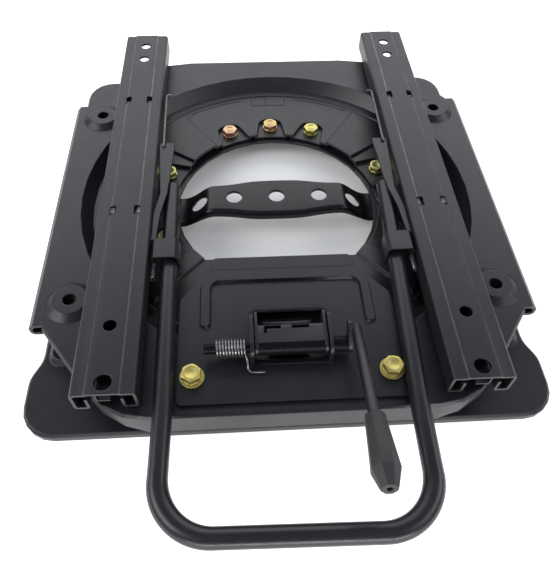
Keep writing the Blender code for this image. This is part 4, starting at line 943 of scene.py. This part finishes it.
SLOT_FINISH = {"black_coat": "paint_plate", "rail_coat": "paint_rail", "yellow_zinc": "zinc_gold",
               "dark_spring_steel": "dark_steel", "grey_grip": "grip_plastic", "glide_nylon": "nylon"}
# The latch's shaft and bush take the painted-shade copy of the black paint.
NODE_FINISH = {"retainer_ring": "paint_nuts", "latch_shaft": "paint_shaded", "latch_bush": "paint_shaded",
               "latch_carrier": "paint_carrier"}
for name, side in SIDES:
    NODE_FINISH[f"pivot_clip_{name}"] = "paint_dark"
    NODE_FINISH[f"release_arm_{name}"] = "paint_dark"


def smoothing_group(angle):
    """Geometry nodes that join doubled points and smooth every edge flatter than an angle."""
    group = bpy.data.node_groups.new("smooth_sheet", "GeometryNodeTree")
    group.interface.new_socket("Geometry", in_out="INPUT", socket_type="NodeSocketGeometry")
    group.interface.new_socket("Geometry", in_out="OUTPUT", socket_type="NodeSocketGeometry")
    tree = Tree(group)
    mesh = tree.node("NodeGroupInput")
    mesh = tree.node("GeometryNodeMergeByDistance", sockets={"Geometry": mesh, "Distance": 0.002 * MM})
    mesh = tree.node("GeometryNodeSetShadeSmooth", sockets={"Geometry": mesh})
    bend = tree.node("GeometryNodeInputMeshEdgeAngle", output="Unsigned Angle")
    flat = tree.node("FunctionNodeCompare", {"data_type": "FLOAT", "operation": "LESS_THAN"},
                     {0: bend, 1: angle})
    mesh = tree.node("GeometryNodeSetShadeSmooth", {"domain": "EDGE"},
                     {"Geometry": mesh, "Shade Smooth": flat})
    tree.feed(group.nodes.new("NodeGroupOutput").inputs[0], mesh)
    return group


def dress_frame(sizes):
    """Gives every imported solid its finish, and smooths the shading of its bends."""
    group = smoothing_group(sizes.smooth_angle)
    for entry in frame["record"]["subparts"]:
        node = entry["node"]
        solid = frame["nodes"][node]
        solid.data.materials.clear()
        solid.data.materials.append(MATERIALS[NODE_FINISH.get(node, SLOT_FINISH[entry["material_slot"]])])
        smooth = solid.modifiers.new("smooth", "NODES")
        smooth.node_group = group
        weighted = solid.modifiers.new("weighted", "WEIGHTED_NORMAL")
        weighted.keep_sharp = True
        weighted.weight = 80


# Stage, in metres.

def soft_box(name, place, target, width, height, radiance):
    """A lamp with an area, of a given brightness, that faces a target."""
    data = bpy.data.lights.new(name, "AREA")
    data.shape = "RECTANGLE"
    data.size = width
    data.size_y = height
    data.energy = math.pi * width * height * radiance
    lamp = linked(name, data)
    lamp.location = place
    lamp.rotation_euler = (Vector(target) - Vector(place)).to_track_quat("-Z", "Y").to_euler()


def make_floor(sizes):
    """Pale floor that looks brighter than it is lit, and less bright inside the plates' hole as a painted
    shade.
    """
    half = 6.0
    hole_from = 0.13
    hole_to = 0.16
    mesh = bpy.data.meshes.new("floor")
    bm = bmesh.new()
    bmesh.ops.create_grid(bm, x_segments=1, y_segments=1, size=half)
    bm.to_mesh(mesh)
    bm.free()
    pale = Finish("pale floor")
    pale.set("Base Color", (0.8, 0.81, 0.78, 1.0))
    pale.set("Roughness", 0.9)
    pale.set("Specular IOR Level", 0.1)
    plain = Value(pale, pale.shader.outputs[0])
    warm = {"Color": (1.0, 1.0, 0.97, 1.0), "Strength": sizes.hole_shade_glow}
    hole_shade = pale.node("ShaderNodeEmission", sockets=warm)
    around = pale.node("ShaderNodeEmission", sockets={"Color": WHITE, "Strength": sizes.floor_glow})
    # Less glow inside the hole: a painted shade on the floor under the plates.
    glow = pale.blended(pale.from_axis().band(hole_from, hole_to), hole_shade, around)
    lit = pale.node("ShaderNodeAddShader", sockets={0: plain, 1: glow})
    rays = [pale.node("ShaderNodeLightPath", output=name) for name in ("Is Camera Ray", "Is Glossy Ray")]
    surface = pale.blended((rays[0] + rays[1]).clamp(), plain, lit)
    pale.feed(pale.tree.nodes["Material Output"].inputs["Surface"], surface)
    mesh.materials.append(pale.material)
    floor = linked("floor", mesh)


def make_world(sizes):
    """Dim bluish surroundings for the light, which the camera sees as white."""
    world = bpy.data.worlds.new("studio")
    world.use_nodes = True
    tree = Tree(world.node_tree)
    dim = {"Color": (0.8, 0.84, 1.1, 1.0), "Strength": sizes.world_level}
    light = tree.node("ShaderNodeBackground", sockets=dim)
    seen = tree.node("ShaderNodeBackground", sockets={"Color": WHITE})
    surface = tree.blended(tree.node("ShaderNodeLightPath", output="Is Camera Ray"), light, seen)
    tree.feed(world.node_tree.nodes["World Output"].inputs["Surface"], surface)
    bpy.context.scene.world = world


def make_camera():
    """Camera at the photograph's place, with its tilt, turn and lean in radians."""
    place = (Vector((-30.96, -379.12, 410.35)) + MIDDLE) * MM
    pitch = 0.93655
    yaw = 0.07153
    roll = 0.02076
    ahead = Vector((math.sin(yaw) * math.cos(pitch), math.cos(yaw) * math.cos(pitch), -math.sin(pitch)))
    level = ahead.cross(Vector((0, 0, 1))).normalized()
    above = level.cross(ahead)
    across = level * math.cos(roll) + above * math.sin(roll)
    upright = above * math.cos(roll) - level * math.sin(roll)
    data = bpy.data.cameras.new("camera")
    data.sensor_width = 36.0
    data.lens = 36.39
    data.shift_x = 0.0152
    data.shift_y = 0.0005
    data.clip_start = 0.01
    camera = linked("camera", data)
    camera.matrix_world = Matrix.Translation(place) @ Matrix((across, upright, -ahead)).transposed().to_4x4()
    bpy.context.scene.camera = camera


def make_stage(sizes):
    """Floor, surroundings, lamps and camera."""
    make_floor(sizes)
    make_world(sizes)
    aim = (0.0, 0.03, 0.03)
    skirt = (0.0, -0.18, 0.02)
    soft_box("rear_box", (0.0, 1.75, 1.345), aim, 3.8, 1.52, sizes.rear_level)
    soft_box("left_box", (-1.7, 0.1, 1.1), aim, 1.0, 0.8, sizes.side_level)
    soft_box("right_box", (1.7, 0.1, 1.1), aim, 1.0, 0.8, sizes.side_level)
    soft_box("left_front_box", (-1.63, -0.7, 1.6), aim, 1.2, 1.0, sizes.corner_level)
    soft_box("right_front_box", (1.6, -0.8, 1.6), aim, 1.0, 0.8, sizes.corner_level * 0.5)
    soft_box("front_strip", (0.05, -1.3, 0.16), skirt, 1.7, 0.12, sizes.strip_level)
    make_camera()
    bpy.context.scene.view_settings.view_transform = "Standard"


# Add-on classes.

def as_share(name, default, description):
    """A property from 0 to 1."""
    return FloatProperty(name=name, description=description, default=default, min=0.0, max=1.0,
                         subtype="FACTOR")


def as_length(name, default, least, description):
    """A length property, with its default and its least value in millimetres."""
    return FloatProperty(name=name, description=description, default=default * MM, min=least * MM,
                         unit="LENGTH")


def as_angle(name, default, description):
    """An angle property, with its default in degrees."""
    return FloatProperty(name=name, description=description, default=math.radians(default), min=0.0,
                         max=math.pi, subtype="ANGLE")


def as_level(name, default, description):
    """A brightness property."""
    return FloatProperty(name=name, description=description, default=default, min=0.0)


class SwivelSizes(PropertyGroup):
    """Sizes and colours of the swivel base's fine parts."""
    paint_tone: as_share("Paint tone", 0.008, "How light the black paint is")
    paint_roughness: as_share("Paint roughness", 0.36, "Gloss of the paint, 0 is a mirror")
    grip_tone: as_share("Grip tone", 0.022, "How light the grip's plastic is")
    smooth_angle: as_angle("Smooth angle", 24.0, "Bends flatter than this are shaded round")
    bolt_flats: as_length("Bolt flats", 13.0, 4.0, "Width of a bolt's head across its flats")
    head_height: as_length("Head height", 6.0, 3.0, "Height of a bolt's head with its washer")
    lever_radius: as_length("Lever radius", 3.8, 1.0, "Radius of the lever's rod")
    grip_length: as_length("Grip length", 50.0, 20.0, "Length of the lever's grip")
    strap_sheet: as_length("Strap sheet", 2.5, 0.5, "Thickness of the strap")
    rail_depth: as_length("Rail depth", 21.0, 12.0, "Depth of the rails' channels")
    handle_lean: as_angle("Handle lean", 1.2, "Lean of the handle to the left")
    tube_sides: IntProperty(name="Tube sides", description="Sides of the handle's section", default=32, min=8)
    world_level: as_level("World level", 0.3, "Strength of the plain surroundings")
    rear_level: as_level("Rear level", 1.75, "Brightness of the rear soft box")
    side_level: as_level("Side level", 3.0, "Brightness of the side soft boxes")
    corner_level: as_level("Corner level", 5.0, "Brightness of the left front soft box")
    strip_level: as_level("Strip level", 18.0, "Brightness of the low front strip")
    floor_glow: as_level("Floor glow", 0.75, "What the floor shows besides the light on it")
    # Kept low: the floor inside the plates' hole gets a painted shade.
    hole_shade_glow: as_level("Hole glow", 0.1, "The same for the floor inside the plates' hole")


UNDOABLE = {"REGISTER", "UNDO"}


class SWIVEL_OT_finishes(Operator):
    """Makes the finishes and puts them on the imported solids"""
    bl_idname = "swivel.finishes"
    bl_label = "Finishes"
    bl_options = UNDOABLE

    def execute(self, context):
        make_finishes(context.scene.swivel_sizes)
        dress_frame(context.scene.swivel_sizes)
        return {"FINISHED"}


class SWIVEL_OT_bolts(Operator):
    """Makes the hexagon bolts"""
    bl_idname = "swivel.bolts"
    bl_label = "Bolts"
    bl_options = UNDOABLE

    def execute(self, context):
        make_bolts(context.scene.swivel_sizes)
        return {"FINISHED"}


class SWIVEL_OT_pressings(Operator):
    """Makes the strap, the latch's pawl, the rails' channels and the small pressed edges"""
    bl_idname = "swivel.pressings"
    bl_label = "Pressings"
    bl_options = UNDOABLE

    def execute(self, context):
        make_strap(context.scene.swivel_sizes)
        make_pawl()
        make_rim()
        make_channels(context.scene.swivel_sizes)
        make_collars()
        return {"FINISHED"}


class SWIVEL_OT_marks(Operator):
    """Makes the rails' window tabs and the dish's pressed lines"""
    bl_idname = "swivel.marks"
    bl_label = "Tabs and lines"
    bl_options = UNDOABLE

    def execute(self, context):
        make_tabs()
        make_beads()
        return {"FINISHED"}


class SWIVEL_OT_springs(Operator):
    """Makes the coil springs"""
    bl_idname = "swivel.springs"
    bl_label = "Springs"
    bl_options = UNDOABLE

    def execute(self, context):
        make_springs()
        return {"FINISHED"}


class SWIVEL_OT_lever(Operator):
    """Makes the latch lever and its grip"""
    bl_idname = "swivel.lever"
    bl_label = "Lever and grip"
    bl_options = UNDOABLE

    def execute(self, context):
        make_lever(context.scene.swivel_sizes)
        return {"FINISHED"}


class SWIVEL_OT_handle(Operator):
    """Makes the release handle's tube"""
    bl_idname = "swivel.handle"
    bl_label = "Handle"
    bl_options = UNDOABLE

    def execute(self, context):
        make_handle(context.scene.swivel_sizes)
        return {"FINISHED"}


class SWIVEL_OT_stage(Operator):
    """Makes the floor, the lamps and the camera"""
    bl_idname = "swivel.stage"
    bl_label = "Stage"
    bl_options = UNDOABLE

    def execute(self, context):
        make_stage(context.scene.swivel_sizes)
        return {"FINISHED"}


STEPS = (SWIVEL_OT_finishes, SWIVEL_OT_bolts, SWIVEL_OT_pressings, SWIVEL_OT_marks, SWIVEL_OT_springs,
         SWIVEL_OT_lever, SWIVEL_OT_handle, SWIVEL_OT_stage)


class SWIVEL_PT_panel(Panel):
    """Lists the sizes and the steps"""
    bl_idname = "SWIVEL_PT_panel"
    bl_label = "Seat swivel base"
    bl_space_type = "VIEW_3D"
    bl_region_type = "UI"
    bl_category = "Swivel"

    def draw(self, context):
        for key in SwivelSizes.__annotations__:
            self.layout.prop(context.scene.swivel_sizes, key)
        for step in STEPS:
            self.layout.operator(step.bl_idname)


CLASSES = (SwivelSizes, *STEPS, SWIVEL_PT_panel)


def register():
    for item in CLASSES:
        bpy.utils.register_class(item)
    bpy.types.Scene.swivel_sizes = PointerProperty(type=SwivelSizes)


def unregister():
    del bpy.types.Scene.swivel_sizes
    for item in reversed(CLASSES):
        bpy.utils.unregister_class(item)


def main():
    register()
    for step in STEPS:
        group, name = step.bl_idname.split(".")
        getattr(getattr(bpy.ops, group), name)()


if __name__ == "__main__":
    main()
